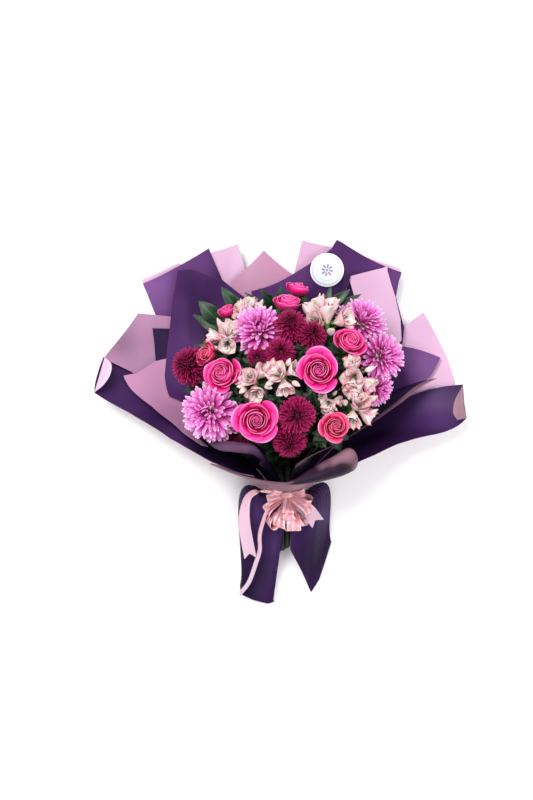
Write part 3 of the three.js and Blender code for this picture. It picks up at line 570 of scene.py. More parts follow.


# Painted highlights (positive strength) and painted shade (negative strength) on each piece: x, y, reach
# and strength, seen from above
PAINTED_LIGHT_SPOTS = {
    "sheet_back_purple_left": [(-185, 196, 55, 0.4), (-120, 240, 45, 0.12), (-62, 235, 30, -0.2)],
    "sheet_back_purple_right": [(30, 215, 60, 0.2), (160, 205, 40, 0.2), (60, 185, 40, -0.2)],
    "sheet_inner_left": [(-112, 172, 16, -0.6), (-106, 140, 20, -0.6), (-95, 195, 22, -0.1),
                         (-137, 135, 20, 0.08), (-140, 170, 20, 0.1), (-95, 232, 30, 0.1)],
    "sheet_right_purple": [(212, 92, 40, 0.42), (160, 75, 30, -0.4)],
    "sheet_left_pink": [(-205, 120, 42, -0.12), (-240, 118, 26, -0.36)],
    "sheet_left_arrow": [(-150, 20, 60, -0.12)],
    "wing_right": [(245, 20, 45, 0.2)],
    "wing_left": [(-215, 45, 45, 0.16), (-150, -16, 30, 0.22)],
    "collar_front": [(92, -40, 13, 0.6), (74, -47, 11, 0.45), (56, -56, 9, 0.3), (107, -58, 7, 0.7),
                     (82, -62, 9, -0.7), (62, -67, 8, -0.6), (42, -72, 9, -0.6), (24, -74, 8, -0.4),
                     (-100, -50, 34, 0.45), (-50, -66, 30, 0.4), (0, -74, 22, 0.3)],
    "collar_inner_left": [(-72, -30, 18, 0.35), (-44, -32, 12, 0.2)],
    "collar_inner_right": [(23, -48, 13, 1.2)],
    "tail_left": [(-35, -130, 22, 0.3), (-20, -180, 20, 0.15)],
    "tail_right": [(70, -140, 14, 0.2), (50, -215, 40, -0.4)],
}


def painted_light_tone(name, points):
    x, y = points[..., 0], points[..., 1]
    total = sum((strength * np.exp(-((x - across)**2 + (y - up)**2) / reach**2)
                 for across, up, reach, strength in PAINTED_LIGHT_SPOTS.get(name, [])), np.zeros(x.shape))
    return np.clip(total, -1, 1)


# The wings' curled lips: the wing's edge, the lip's free edge, and its film
LIPS = {
    "wing_left": (
        [[-272.8, 44.9, 48], [-265.1, 71.8, 46], [-258.5, 96.7, 43]],
        [[-272.3, 45.2, 49], [-257.6, 55.5, 56], [-247.4, 70.2, 58], [-246, 86, 56],
         [-257.9, 96.5, 46]], PINK),
    "wing_right": (
        [[269.2, 57.1, 44], [269.4, 29.2, 47], [273.6, 7.1, 50]],
        [[265.1, 49.7, 48], [254.6, 33.6, 55], [251.6, 15.3, 58], [258.5, 4.3, 56]], SHADED),
}
LIP_HEIGHT = 9


def lip(outer, inner):
    """Film that curls up from an outer edge and back over to an inner one."""
    a, b = spline(outer, 24), spline(inner, 24)
    t = np.linspace(0, 1, 12)[:, None, None]
    lens = np.sin(np.pi * np.linspace(0.02, 0.98, 24))[None, :, None] ** 0.6
    return lerp(a[None], b[None], t) + UP * LIP_HEIGHT * lens * np.sin(np.pi * 0.72 * t)


def film_piece(name, points, films, slot, turned=0):
    """One piece of film; its last rows, as many as turned, show the next pair of films."""
    cloud = Cloud()
    slots = [0] * (len(points) - 1 - turned) + [2] * turned
    # tone carries this piece's painted highlights and painted shade
    cloud.grid(points, slots, tone=painted_light_tone(name, points))
    if name in LIPS:
        outer, inner, lip_film = LIPS[name]
        cloud.grid(lip(outer, inner), 2)
        films = [*films, lip_film]
    cloud.build(f"{name}_film", films, FILM, node=name, slot=slot, film=True)


# ---- Sheets ----
PINK_FRONT = (PINK, PURPLE, "film_pink")
PURPLE_FRONT = (PURPLE, PINK, "film_purple")
WING_FRONT = (WING_IN_SHADE, SHADED, "film_purple")
# Name, layer, films in front and behind with the slot, and the outer corners as [angle, along]
SHEETS = [
    ("sheet_back_left_pink", 0, PINK_FRONT, [[243, 0.9], [235, 0.99], [222.3, 1.026], [221.4, 0.88]]),
    ("sheet_back_pink", 0, PINK_FRONT,
     [[267, 0.6], [257.2, 0.9], [256.3, 1.0], [246.8, 0.98], [244, 0.85]]),
    ("sheet_back_right_pink", 0, PINK_FRONT,
     [[313, 0.8], [311.6, 1.017], [300.5, 0.986], [287, 0.99], [277.3, 1.01], [275.5, 0.89],
      [268, 0.5]]),
    ("sheet_right_pink", 0, PINK_FRONT, [[350, 0.95], [340.8, 0.942], [325.3, 0.946], [323.5, 0.82]]),
    ("sheet_back_purple_left", 1, PURPLE_FRONT,
     [[249, 0.7], [248, 0.866], [246.5, 1.0], [222, 1.01], [218.5, 0.86], [205, 0.72], [202, 0.6]]),
    ("sheet_left_pink", 2.1, (SHADED_LILAC_PINK, PURPLE, "film_pink"),
     [[230, 0.76], [224, 0.815], [214.2, 0.94], [194.3, 0.97], [193.2, 0.93], [191.5, 0.75]]),
    ("sheet_left_purple", 3.05, (DEEP_SHADE_PURPLE, PINK, "film_purple"),
     [[226, 0.72], [220.5, 0.778], [214.2, 0.842], [203.2, 0.73], [200, 0.6]]),
    ("sheet_back_rosy", 1.6, (ROSY, PURPLE, "film_rosy"), [[274.3, 0.88], [264.5, 0.975], [251, 0.853]]),
    ("sheet_back_purple_right", 2.7, PURPLE_FRONT,
     [[328.5, 0.7], [328, 0.77], [324, 0.83], [314.5, 0.912], [312, 1.005], [306.2, 0.993],
      [288.2, 1.018], [287, 0.99], [276.8, 0.897], [258.3, 0.812]]),
    ("sheet_right_purple", 2, PURPLE_FRONT, [[349.5, 0.65], [344, 0.838], [340.2, 0.918], [329, 0.766]]),
    ("sheet_inner_left", 4.2, PURPLE_FRONT,
     [[256, 0.78], [248, 0.875], [238, 0.955], [233.8, 0.978], [227, 0.88], [216.2, 0.745],
      [199.5, 0.654], [184, 0.61]]),
    ("sheet_inner_right", 3.8, PINK_FRONT,
     [[326.5, 0.78], [320.5, 0.85], [314.3, 0.914], [307, 0.998], [296, 0.898], [294, 0.5]]),
    ("sheet_left_arrow", 3.55, (ARROW, PURPLE, "film_rosy"),
     [[212, 0.67], [203, 0.73], [192, 0.79], [188.5, 0.85], [170.2, 0.79], [152, 0.92], [141, 0.96]]),
    ("wing_left", 1, WING_FRONT,
     [[196, 0.9], [194.2, 0.968], [179, 1.0], [168.8, 0.93], [154, 0.962], [140, 0.92], [128, 0.94],
      [118, 0.97], [110, 1.0]]),
    ("wing_right", 1, WING_FRONT,
     [[415, 1.0], [400, 1.0], [385, 1.0], [375, 0.99], [360.2, 1.0], [354.2, 0.98], [348.8, 0.99],
      [348, 0.8]]),
]
# Where a sheet begins further out than the tie, as (angle, along), by rising angle
BARE = {
    "sheet_inner_right": [(296, 0.88), (304, 0.76), (307, 0.0)],
    "sheet_left_arrow": [(140, 0.9), (150, 0.82), (156, 0.6), (160, 0.0)],
}
WING_DIP = 3.4
ROWS = 40


def sheet_lift(name, angle, along):
    """One sheet tilts up past a fold, and the left wing dips under the front collar's rim."""
    if name == "sheet_left_pink":
        return fold(angle, along, [191.75, 0.794], [214, 0.95], 0.16)
    if name == "wing_left":
        return -WING_DIP * (1 - smooth(angle, 148, 168)) * smooth(along, 0.3, 0.9)
    return 0.0


def film_sheet(name, layer, films, corners):
    front, back, slot = films
    edge = edge_of(corners)
    v = np.linspace(0, 1, ROWS)[:, None] ** 0.9
    angle = np.broadcast_to(edge[:, 0], (ROWS, len(edge)))
    start = np.interp(edge[:, 0], *zip(*BARE.get(name, [(0, 0)])))
    along = lerp(start, edge[:, 1], v)
    points = on_layer(angle, along, layer, sheet_lift(name, angle, along))
    film_piece(name, points, [back, front, EDGE], slot)


# ---- Collars: each has its belly at either end, and its rim as [angle, x, y, z] ----
INNERMOST = 21.2
RIGHT_BELLIES, RIGHT_RIM = [[-6, 32, -12], [0, 2, 2]], [
    [-8, 230, 66, 48], [8, 202, 50, 60], [22, 173, 30, 76], [36, 137, 5, 100], [50, 89, -20, 134],
    [64, 45, -41, 160], [76, 20, -54, 170]]
LEFT_BELLIES, LEFT_RIM = [[0, 2, 2], [2, 12, -4]], [
    [86, -27, -58, 150], [96, -24, -46, 160], [108, -37, -28, 166], [120, -62, -23, 158],
    [134, -90, -24, 128], [150, -110, -16, 102]]
# The front collar's roll: radii at these x
ROLL_X, ROLL_RADII = [-200, -10, 8, 20, 42, 70, 100], [1, 1, 1.6, 4, 9, 13, 16]


def fan(bellies, rim, count, rows):
    """The middle surface of a sheet with a rim of its own, as rows from the neck to the rim."""
    fine = spline(rim, count)
    u = np.linspace(0, 1, count)[None, :, None]
    v = np.linspace(0, 1, rows)[:, None, None]
    neck, rim = neck_point(fine[:, 0], INNERMOST)[None], fine[None, :, 1:]
    belly = lerp(np.array(bellies[0], float), np.array(bellies[1], float), u)
    points = lerp(neck, rim, v) + belly * 4 * v * (1 - v)
    normal = unit(np.cross(np.gradient(points, axis=1), np.gradient(points, axis=0)))
    a = np.radians(fine[:, 0])[None, :, None]
    wave = 0.5 * (np.sin(37 * a) * (1 - v) + 2.0 * np.sin(11 * a + 1) * smooth(v, 0.2, 0.8))
    return points + normal * wave, normal


def rolled(points, out, radius, turn, rows):
    """The points with rows that carry the rim on round a roll; its radius changes along the rim."""
    rim, up = points[-1], unit(points[-1] - points[-3])
    a = np.radians(turn) * np.linspace(0, 1, rows + 1)[1:, None, None]
    r = np.asarray(radius)[None, :, None]
    roll = rim[None] + out[None] * r * (1 - np.cos(a)) + up[None] * r * np.sin(a)
    return np.concatenate([points, roll])


def collars():
    # Inner faces are painted in deep shade; rolls and hems are the pink reverse painted dark, with
    # painted highlights and painted shade from their tone.
    points, _ = fan(RIGHT_BELLIES, RIGHT_RIM, 90, 36)
    film_piece("collar_inner_right", points, [DEEP_SHADE_PURPLE, DEEP_SHADE_PURPLE, SHADED_HEM, SHADED_HEM, SHADED_HEM], "film_mauve", 2)

    points, normal = fan(LEFT_BELLIES, LEFT_RIM, 70, 30)
    share = np.linspace(0, 1, 70)
    radius = 2 + 5 * smooth(share, 0.0, 0.35) * (1 - smooth(share, 0.6, 1))
    points = rolled(points, -normal[-1], radius, 190, 12)[:, ::-1]
    film_piece("collar_inner_left", points, [DEEP_SHADE_PURPLE, DEEP_SHADE_PURPLE, SHADED_PLUM, SHADED_PLUM, SHADED_MAUVE], "film_navy", 14)

    angle = np.linspace(53, 134, 120)[None, :]
    v = np.linspace(0, 0.96, 30)[:, None]
    radius = np.interp(cup(angle[0], 1.0)[:, 0], ROLL_X, ROLL_RADII)
    lift = -0.4 * flutes(angle, v) + 2 * (radius - 1) * smooth(v, 0.3, 1)
    out = -inward(angle[0], np.full(120, 0.95))
    points = rolled(on_layer(angle, v, 0, lift), out, radius, 230, 24)
    film_piece("collar_front", points, [DEEP_SHADE_PURPLE, SHADED, SHADED_MAUVE, SHADED_MAUVE, EDGE], "film_mauve", 24)


# ---- Tails: [angle at the tie, spread x, y, z, end x, y, z] across each ----
TAIL_LEFT = [
    [206, -80, 54, -6, -61, -246, 5], [180, -70, 48, 4, -58, -259, 8],
    [152, -36, 28, 30, -42, -266, 14], [124, -14, 6, 42, -18, -272, 14],
    [100, -8, 0, 42, -8, -270, 14], [84, 0, 0, 34, -6, -236, 22]]
TAIL_RIGHT = [
    [76, 10, 0, 22, 14, -186, 48], [56, 24, 8, 38, 32, -222, 26], [32, 44, 16, 26, 48, -257, 8],
    [8, 62, 42, 8, 60, -236, 8], [-20, 75, 56, -8, 78, -180, 6]]
TAIL_COUNT, TAIL_ROWS = 60, 44
TAIL_HELD = 0.2                # share of a tail's rows that the band holds


def film_tail(name, columns, seed):
    """Film below the tie: gathered at the neck, it widens and folds to its cut end."""
    corners = np.array(columns, float)
    place = np.linspace(0, len(corners) - 1, TAIL_COUNT)
    fine = spline(corners, TAIL_COUNT)
    for k in (4, 5, 6):
        fine[:, k] = np.interp(place, np.arange(len(corners)), corners[:, k])
    spread, end = fine[None, :, 1:4], fine[None, :, 4:]
    neck = neck_point(fine[:, 0]) + np.array([0, -0.7, 0])
    held = neck - np.array([0, 12.0, 0])
    v = np.linspace(0, 1, TAIL_ROWS)[:, None, None]
    w = np.clip((v - TAIL_HELD) / (1 - TAIL_HELD), 0, 1)
    low = held[None] + (end - held[None]) * w + spread * w**0.3 * (1 - w)**1.5
    points = np.where(v < TAIL_HELD, lerp(neck[None], held[None], v / TAIL_HELD), low)
    normal = unit(np.cross(np.gradient(points, axis=1), np.gradient(points, axis=0)))
    a = np.radians(fine[:, 0])[None, :, None]
    rng = np.random.default_rng(seed)
    wave = sum(depth * np.sin(number * a + rng.uniform(0, 6) + 1.2 * v)
               for depth, number in ((1.2, 3.4), (0.7, 6.5), (0.3, 12)))
    pleats = 0.5 * np.sin(40 * a) * (1 - smooth(w, 0, 0.3)) + wave * smooth(w, 0.1, 0.9)
    points = points + normal * pleats
    points[..., 2] = np.maximum(points[..., 2], 0.6)
    # The tail's purple face is painted darker for the shade it lies in.
    film_piece(name, points, [PINK, TAIL_IN_SHADE, EDGE], "film_purple")


# ---- Flower heads: made round +Z with a radius of 1, then turned, scaled and moved ----
def rose(cloud, rng, opened, pointed, count):
    """Petals on a golden-angle spiral: a tight heart, then wide overlapping ones with rolled lips."""
    turn = rng.uniform(0, 6)
    t = np.linspace(0, 1, 52)[None, :]
    v = np.linspace(0, 1, 6)[:, None]
    a = turn + 2 * np.pi * 2.1 * t
    r = (0.015 + 0.1 * t) * (1 - 0.2 * v) + 0.006 * np.sin(9 * a)
    cloud.grid(polar(r, a, -0.3 + v * (0.72 - 0.05 * t)), 0, tip=0.3 + 0.65 * v)
    s = np.linspace(-1, 1, 15)[None, :]
    aside = np.abs(s)
    t = np.linspace(0, 1, 12)[:, None]
    for i in range(count):
        f = i / (count - 1)
        free = smooth(f, 0.3, 1) * opened
        lip_at = (0.12 + 0.86 * f**1.3) * (0.8 + 0.2 * opened) * (1 + rng.normal(0, 0.012))
        height = 0.46 - 0.06 * f - 0.36 * free**1.5 + rng.normal(0, 0.02) + (1 - opened) * 0.1
        point = (0.3 + 0.7 * free) * (0.05 + 0.1 * pointed) * rng.uniform(0.5, 1.5)
        h = t * (1 - (0.1 + 0.07 * free) * aside**2.4 + point * 0.6 * (1 - aside) ** 2)
        foot = 0.1 + 0.22 * lip_at
        middle, end = lip_at * (1.08 - 0.34 * free), lip_at * (0.92 + 0.08 * free)
        control = (middle - foot * 0.2025 - 0.3025 * end) / 0.495
        body = foot * (1 - h) ** 2 + 2 * h * (1 - h) * control + h * h * end
        curl = (0.012 + 0.1 * free) * rng.uniform(0.6, 1.4) * smooth(h, 0.78, 1) * (0.7 + 0.7 * aside)
        lift = 0.025 * np.sin(3.5 * s + rng.uniform(0, 6)) + 0.015 * np.sin(8 * s + i)
        tuck = 1 + (0.15 - 0.05 * f) * s * h + point * (1 - aside) ** 1.5 * h
        z = -0.5 + (height + 0.5) * h**0.8 - 0.9 * curl * smooth(h, 0.86, 1)
        z = z + lift * h * h * (0.4 + free)
        reach = lerp(1.5, 0.86, f**0.7) * (0.8 + 0.2 * np.sqrt(np.clip(h, 0, None)))
        a = turn + i * GOLDEN + rng.normal(0, 0.12) + s * reach + 0.05 * (t - 0.5)
        cloud.grid(polar(body * tuck + curl, a, z), 0, tip=h, tone=f, across=s)
    for i in range(5):
        out = level(turn + i * 2 * np.pi / 5)
        blade_leaf(cloud, out * 0.1 - UP * 0.48, out * 0.6 - UP * 0.28, 0.17, droop=-0.1, wave=0, slot=1)
    tube(cloud, [[0, 0, -1.1], [0, 0, -0.7], [0, 0, -0.55], [0, 0, -0.42]], [0.09, 0.1, 0.2, 0.22], 10, 1)


# A ray's outline: shares of its length, and of its width there
SPOON = ([0, 0.2, 0.4, 0.6, 0.75, 0.88, 0.96, 1], [0.45, 0.6, 0.78, 0.95, 1, 0.85, 0.55, 0.12])
QUILL = ([0, 0.25, 0.5, 0.7, 0.86, 0.95, 1], [0.5, 0.7, 0.9, 1, 0.85, 0.55, 0.15])


def ray(cloud, base, tip, up, width, tone, shape, bend):
    """A narrow petal from base to tip, channelled along its length and bent towards up."""
    axis = tip - base
    length = np.linalg.norm(axis)
    side = unit(np.cross(axis, up))
    normal = unit(np.cross(side, axis))
    t = np.array(shape[0])[:, None, None]
    half = width / 2 * np.array(shape[1])[:, None, None]
    s = np.linspace(-1, 1, 4)[None, :, None]
    arch = normal * bend * length * np.sin(np.pi * t)
    channel = normal * 0.4 * half * (s * s - 0.4)
    cloud.grid(base + axis * t + side * half * s + arch + channel, 0,
               tip=t[..., 0], tone=tone, across=s[..., 0])


def daisy(cloud, rng, count, spread, width, shape, inner=0.42, low=0.16, incurve=0.14):
    """Rays in a golden-angle dome from the middle out, over a small green base."""
    for k in range(count):
        f = (k + 0.5) / count
        down = math.radians(4 + (spread - 4) * f**0.62) + rng.normal(0, 0.06)
        out = level(k * GOLDEN + rng.normal(0, 0.1))
        reach = (inner + (1 - inner) * f**0.5) * rng.uniform(0.9, 1.05)
        way = out * math.sin(down) + UP * math.cos(down)
        base = out * (0.05 + 0.2 * f**0.5) + UP * (0.05 - 0.28 * f)
        flat = down > 0.5
        ray(cloud, base, way * reach + UP * low * (0.5 - f), UP if flat else -out,
            width * (0.5 + 0.5 * f) * rng.uniform(0.88, 1.12), f, shape,
            incurve * (1 - 1.5 * f) * (1 if flat else -1) + rng.normal(0, 0.025))
    tube(cloud, [[0, 0, -1.1], [0, 0, -0.6], [0, 0, -0.4], [0, 0, -0.2], [0, 0, 0.05]],
         [0.07, 0.08, 0.22, 0.32, 0.2], 10, 1)


def lily(cloud, rng, size, way, start, spread):
    """One alstroemeria floret: three broad outer tepals, three narrower streaked inner ones."""
    rotation = basis(way, rng.uniform(0, 6))
    first = len(cloud.verts)
    s = np.linspace(-1, 1, 9)[None, :]
    t = np.linspace(0, 1, 11)[:, None]
    for k in range(6):
        outer = k % 2 == 0
        a = k * np.pi / 3
        lean = (spread if outer else spread * 0.75) * rng.uniform(0.8, 1.15)
        width = (0.66 if outer else 0.4) * rng.uniform(0.9, 1.1)
        half = width / 2 * (0.14 + 0.9 * np.sin(np.pi * t ** (1.5 if outer else 1.2)) ** 0.85)
        half = half * (1 - 0.75 * smooth(t, 0.9, 1))
        tilt = lean * (0.2 + 0.9 * smooth(t, 0.1, 0.95))
        r = np.cumsum(np.sin(tilt), axis=0) / 11 + 0.05
        z = np.cumsum(np.cos(tilt), axis=0) / 11 - 0.4
        cupped = (s * s - 0.3) * half * 0.45
        x, y = r - cupped * np.cos(tilt), half * s
        height = z + cupped * np.sin(tilt) + 0.025 * np.sin(5 * s + k + 4 * t) * t
        points = np.stack([x * np.cos(a) - y * np.sin(a), x * np.sin(a) + y * np.cos(a), height], -1)
        cloud.grid(points, 0 if outer else 2, tip=t, tone=rng.uniform(0.25, 1), across=s)
    for k in range(5):
        end = level(k * 1.26 + 0.3) * 0.16 + [0.05, 0, 0.28]
        tube(cloud, [[0, 0, -0.35], end * 0.5, end, end + UP * 0.05], [0.012, 0.012, 0.012, 0.03], 5, 3,
             tip=1)
    tube(cloud, [[0, 0, -0.75], [0, 0, -0.5], [0, 0, -0.3]], [0.04, 0.06, 0.12], 8, 1)
    cloud.place(first, rotation, size, start)


def flower_bud(cloud, size, way, start, spin):
    """A closed bud: a pointed green-tipped spindle with three shallow lobes."""
    t = np.linspace(0, 1, 9)[:, None]
    a = np.linspace(0, 2 * np.pi, 13)[None, :]
    r = 0.19 * np.sin(np.pi * t**0.8) ** 0.75 * (1 + 0.12 * np.cos(3 * a))
    first = len(cloud.verts)
    cloud.grid(polar(r, a, t), 0, tip=0.5 + 0.5 * t, tone=0.6, across=np.sin(3 * a))
    cloud.place(first, basis(way, spin), size, start)


def spray(cloud, rng):
    """An umbel: one floret up, three leaning out so that their sides show, and four buds."""
    root = -0.75 * UP
    turn = rng.uniform(0, 6)
    for k in range(4):
        lean = level(turn + 2.2 * k + rng.uniform(-0.3, 0.3))
        out = 0.12 if k == 0 else rng.uniform(0.34, 0.46)
        way = lean * (0.45 if k == 0 else rng.uniform(0.9, 1.4)) + UP * 0.75
        size = 1.12 if k == 0 else rng.uniform(0.86, 0.98)
        lily(cloud, rng, size, way, lean * out + UP * rng.uniform(0, 0.12), rng.uniform(0.62, 0.85))
        tube(cloud, spline([root, lean * 0.2 - UP * 0.4, lean * out * 0.8 - UP * 0.16], 8), 0.04, 6, 1)
    for k in range(4):
        a = turn + 1.1 + 1.9 * k + rng.uniform(0, 0.4)
        foot = level(a) * 0.5 - UP * 0.1
        flower_bud(cloud, rng.uniform(0.55, 0.75), level(a) * 0.6 + UP * 0.8, foot, a)
        tube(cloud, spline([root, level(a) * 0.25 - UP * 0.4, foot + UP * 0.03], 8), 0.03, 6, 1)
    tube(cloud, [[0, 0, -1.1], root, [0, 0, -0.5]], [0.07, 0.08, 0.05], 8, 1)


HEADS = [
    ("rose_front", "rose", (-34, 7, 178), 31, (0.05, -0.1, 1)),
    ("rose_centre", "rose", (50, 73, 180), 30, (0, 0.1, 1)),
    ("rose_left", "rose", (-79, 68, 156), 28, (-0.45, 0.35, 1)),
    ("rose_right", "rose", (94, 113, 142), 25, (0.3, 0.6, 1)),
    ("rose_low_right", "deep rose", (73, -3, 166), 22, (0.2, 0.2, 1)),
    ("rose_top", "rose", (9, 174, 104), 23, (0.05, 1, 0.5)),
    ("rose_bud_top", "rose bud", (28, 196, 76), 16, (0.2, 1, 0.3)),
    ("rose_bud_left", "deep rose bud", (-101, 98, 124), 16, (-0.7, 0.2, 0.7)),
    ("rose_bud_back", "rose bud", (-76, 159, 92), 13, (-0.5, 0.9, 0.5)),
    ("chrysanthemum_left", "lilac", (-99, 16, 146), 38, (-0.4, -0.15, 1)),
    ("chrysanthemum_back", "lilac", (-29, 131, 128), 38, (0, 0.55, 1)),
    ("chrysanthemum_right", "lilac", (116, 153, 96), 35, (0.45, 0.75, 1)),
    ("chrysanthemum_far_right", "lilac", (143, 95, 112), 34, (0.7, 0.2, 1)),
    ("chrysanthemum_low_right", "lilac", (136, 50, 110), 25, (0.7, -0.3, 0.8)),
    ("pompon_left", "burgundy", (-129, 82, 106), 27, (-0.7, 0.2, 1)),
    ("pompon_back", "burgundy", (13, 137, 142), 23, (0, 0.5, 1)),
    ("pompon_middle", "burgundy", (-1, 99, 160), 20, (0, 0.2, 1)),
    ("pompon_right", "burgundy", (43, 124, 144), 20, (0.2, 0.4, 1)),
    ("pompon_front", "burgundy", (21, 13, 174), 25, (0, 0, 1)),
    ("pompon_low", "burgundy", (11, -23, 158), 23, (0, -0.4, 1)),
    ("pompon_low_left", "burgundy", (-60, -10, 116), 22, (-0.4, -0.5, 1)),
    ("pompon_small", "burgundy", (-33, 92, 150), 14, (0, 0.1, 1)),
    ("alstroemeria_left", "cream", (-82, 123, 122), 24, (-0.5, 0.6, 1)),
    ("alstroemeria_back", "cream", (-47, 169, 94), 21, (-0.3, 0.9, 0.7)),
    ("alstroemeria_large", "cream", (61, 160, 114), 31, (0.1, 0.8, 1)),
    ("alstroemeria_middle", "cream", (-36, 59, 160), 23, (0, 0.1, 1)),
    ("alstroemeria_centre", "cream", (2, 66, 168), 23, (0, 0, 1)),
    ("alstroemeria_right", "cream", (103, 66, 148), 25, (0.3, 0, 1)),
    ("alstroemeria_low_right", "cream", (104, 22, 146), 25, (0.4, -0.1, 1)),
    ("alstroemeria_low", "cream", (66, 32, 150), 15, (0.1, 0, 1)),
]
# Materials, slot, a petal's thickness, and the bloom's size against the solid's radius
KINDS = {
    "rose": ([ROSE, CALYX], "rose", 0.6, 0.97),
    "deep rose": ([DEEP_ROSE, CALYX], "rose_deep", 0.6, 0.97),
    "rose bud": ([ROSE, CALYX], "rose", 0.6, 1.25),
    "deep rose bud": ([DEEP_ROSE, CALYX], "rose_deep", 0.6, 1.25),
    "lilac": ([LILAC, CALYX], "lilac", 0.35, 1.2),
    "burgundy": ([BURGUNDY, CALYX], "burgundy", 0.35, 1.12),
    "cream": ([CREAM, CALYX, STREAKED, ANTHER], "cream", 0.4, 1.3),
}
OPENED = {"rose_top": 0.5, "rose_right": 0.7, "rose_left": 0.8}
MOVED = {"alstroemeria_large": [4, -14, 6], "alstroemeria_back": [2, -9, 4],
         "alstroemeria_left": [5, -4, 0], "rose_top": [0, -5, 4], "rose_bud_top": [-4, -4, 0],
         "chrysanthemum_right": [0, -8, 4]}


def make_heads():
    for k, (name, kind, centre, radius, way) in enumerate(HEADS):
        rng = np.random.default_rng(100 + k)
        cloud = Cloud()
        if "bud" in kind:
            rose(cloud, rng, 0.4, 0.3, 13)
        elif "rose" in kind:
            rose(cloud, rng, OPENED.get(name, 1.0), 1.0 if name == "rose_left" else 0.3, 21)
        elif kind == "lilac":
            daisy(cloud, rng, 150, 106, 0.17, SPOON)
        elif kind == "burgundy":
            daisy(cloud, rng, 320, 116, 0.11, QUILL, 0.62, 0.1, 0.22)
        else:
            spray(cloud, rng)
        materials, slot, thick, grow = KINDS[kind]
        centre = np.array(centre, float) + MOVED.get(name, [0, 0, 0])
        cloud.place(0, basis(way, rng.uniform(0, 6)), radius * grow, centre)
        cloud.build(f"{name}_bloom", materials, thick, 1, node=name, slot=slot)


# ---- Leaves ----
def blade_leaf(cloud, root, tip, width, tone=1.0, droop=0.12, gutter=0.3, wave=0.04, slot=0):
    """A pointed leaf: folded along its rib, arched, and waved at its edge."""
    axis = tip - root
    length = np.linalg.norm(axis)
    side = unit(np.cross(axis, UP + 1e-3))
    normal = unit(np.cross(side, axis))
    t = np.linspace(0, 1, 12)[:, None, None]
    s = np.linspace(-1, 1, 7)[None, :, None]
    half = width / 2 * np.clip(np.sin(np.pi * t**0.72), 0, 1) ** 0.85 + 0.02 * width
    arch = normal * droop * length * np.sin(np.pi * t)
    folded = normal * gutter * half * np.abs(s)
    ripple = normal * wave * width * s * np.sin(11 * t + 2 * s)
    cloud.grid(root + axis * t + side * half * s + arch + folded + ripple, slot,
               tip=t[..., 0], tone=tone, across=s[..., 0])


# Name, the stalk's end, and the tip and width of each long leaf
SPRIGS = [
    ("leaves_left", [-80, 138, 66], [
        [[-118, 177, 76], 24], [[-85, 196, 84], 22], [[-127, 158, 62], 17], [[-126, 114, 62], 16]]),
    ("leaves_back", [-8, 170, 56], [
        [[-30, 195, 78], 13], [[2, 198, 76], 14], [[-52, 190, 66], 13], [[40, 198, 58], 12]]),
    ("leaves_right", [64, 164, 56], [
        [[101, 194, 70], 17], [[118, 188, 58], 15], [[74, 200, 64], 13], [[134, 168, 54], 14]]),
    ("leaves_low_left", [-108, 50, 66], [
        [[-140, 48, 78], 17], [[-132, 20, 84], 15], [[-146, 80, 66], 13]]),
    ("leaves_low_right", [110, 22, 70], [
        [[134, 22, 100], 15], [[150, 46, 84], 13], [[106, -2, 108], 13]]),
    ("leaves_front", [-8, -30, 98], [
        [[-20, -42, 132], 13], [[26, -46, 130], 13], [[-84, 8, 98], 13], [[56, -24, 116], 13]]),
]
LEAF_FEET = {("leaves_left", 0): [-88, 146, 68], ("leaves_left", 1): [-56, 156, 66]}


def make_sprigs():
    for k, (name, end, leaves) in enumerate(SPRIGS):
        rng = np.random.default_rng(40 + k)
        end = np.array(end, float)
        out = unit(end - TIE)
        cloud = Cloud()
        tube(cloud, spline([TIE + out * 12, lerp(TIE, end, 0.6), end, end + out * 6], 24), 2.2, 8, 1)
        for i, (tip, width) in enumerate(leaves):
            foot = np.array(LEAF_FEET.get((name, i), end - out * 7 * i), float)
            blade_leaf(cloud, foot, np.array(tip, float), width, rng.uniform(0.7, 1), 0.1, wave=0.03)
        for i in range(7):
            foot = end - out * (10 + 6 * i)
            way = basis(out, i * GOLDEN)[:, 0] * 0.85 + out * 0.6
            blade_leaf(cloud, foot, foot + way * rng.uniform(22, 32), rng.uniform(8, 11),
                       rng.uniform(0.4, 0.8), 0.1, wave=0.03)
        cloud.build(f"{name}_sprig", [LEAF, STALK], 0.4, 1, node=name, slot="leaf")


# ---- Stems, with the small leaves under and between the blooms ----
STEM_END = -188
BUNCH = 13                     # radius of the stems in the tie
FILLERS = [(3, 153, 128), (5, 52, 150), (52, 50, 152), (28, 40, 160), (-8, 38, 158), (-54, 98, 136),
           (-40, 84, 150), (84, 86, 138), (56, -24, 144), (30, 104, 138), (-62, 34, 146),
           (72, 140, 112)]


def stem_path(start, way, spread):
    neck = TIE + np.array([spread[0], 0, spread[1]])
    end = np.array([TIE[0] + 1.1 * spread[0], STEM_END + 0.6 * spread[0], TIE[2] + 0.9 * spread[1]])
    knee = start - way * 20
    return np.vstack([spline([start, knee, lerp(knee, neck, 0.5), neck + [0, 8, 0], neck], 22),
                      spline([neck, lerp(neck, end, 0.5), end], 6)[1:]])


def place_in_tie(start):
    """Where a stem passes the tie: sideways and up as its bloom lies seen from there."""
    x, y, z = start - TIE
    side = math.atan2(x, y) / math.radians(60)
    rise = (math.atan2(z, math.hypot(x, y)) - math.radians(42)) / math.radians(26)
    return np.array([side, rise]) * BUNCH / max(1, math.hypot(side, rise))


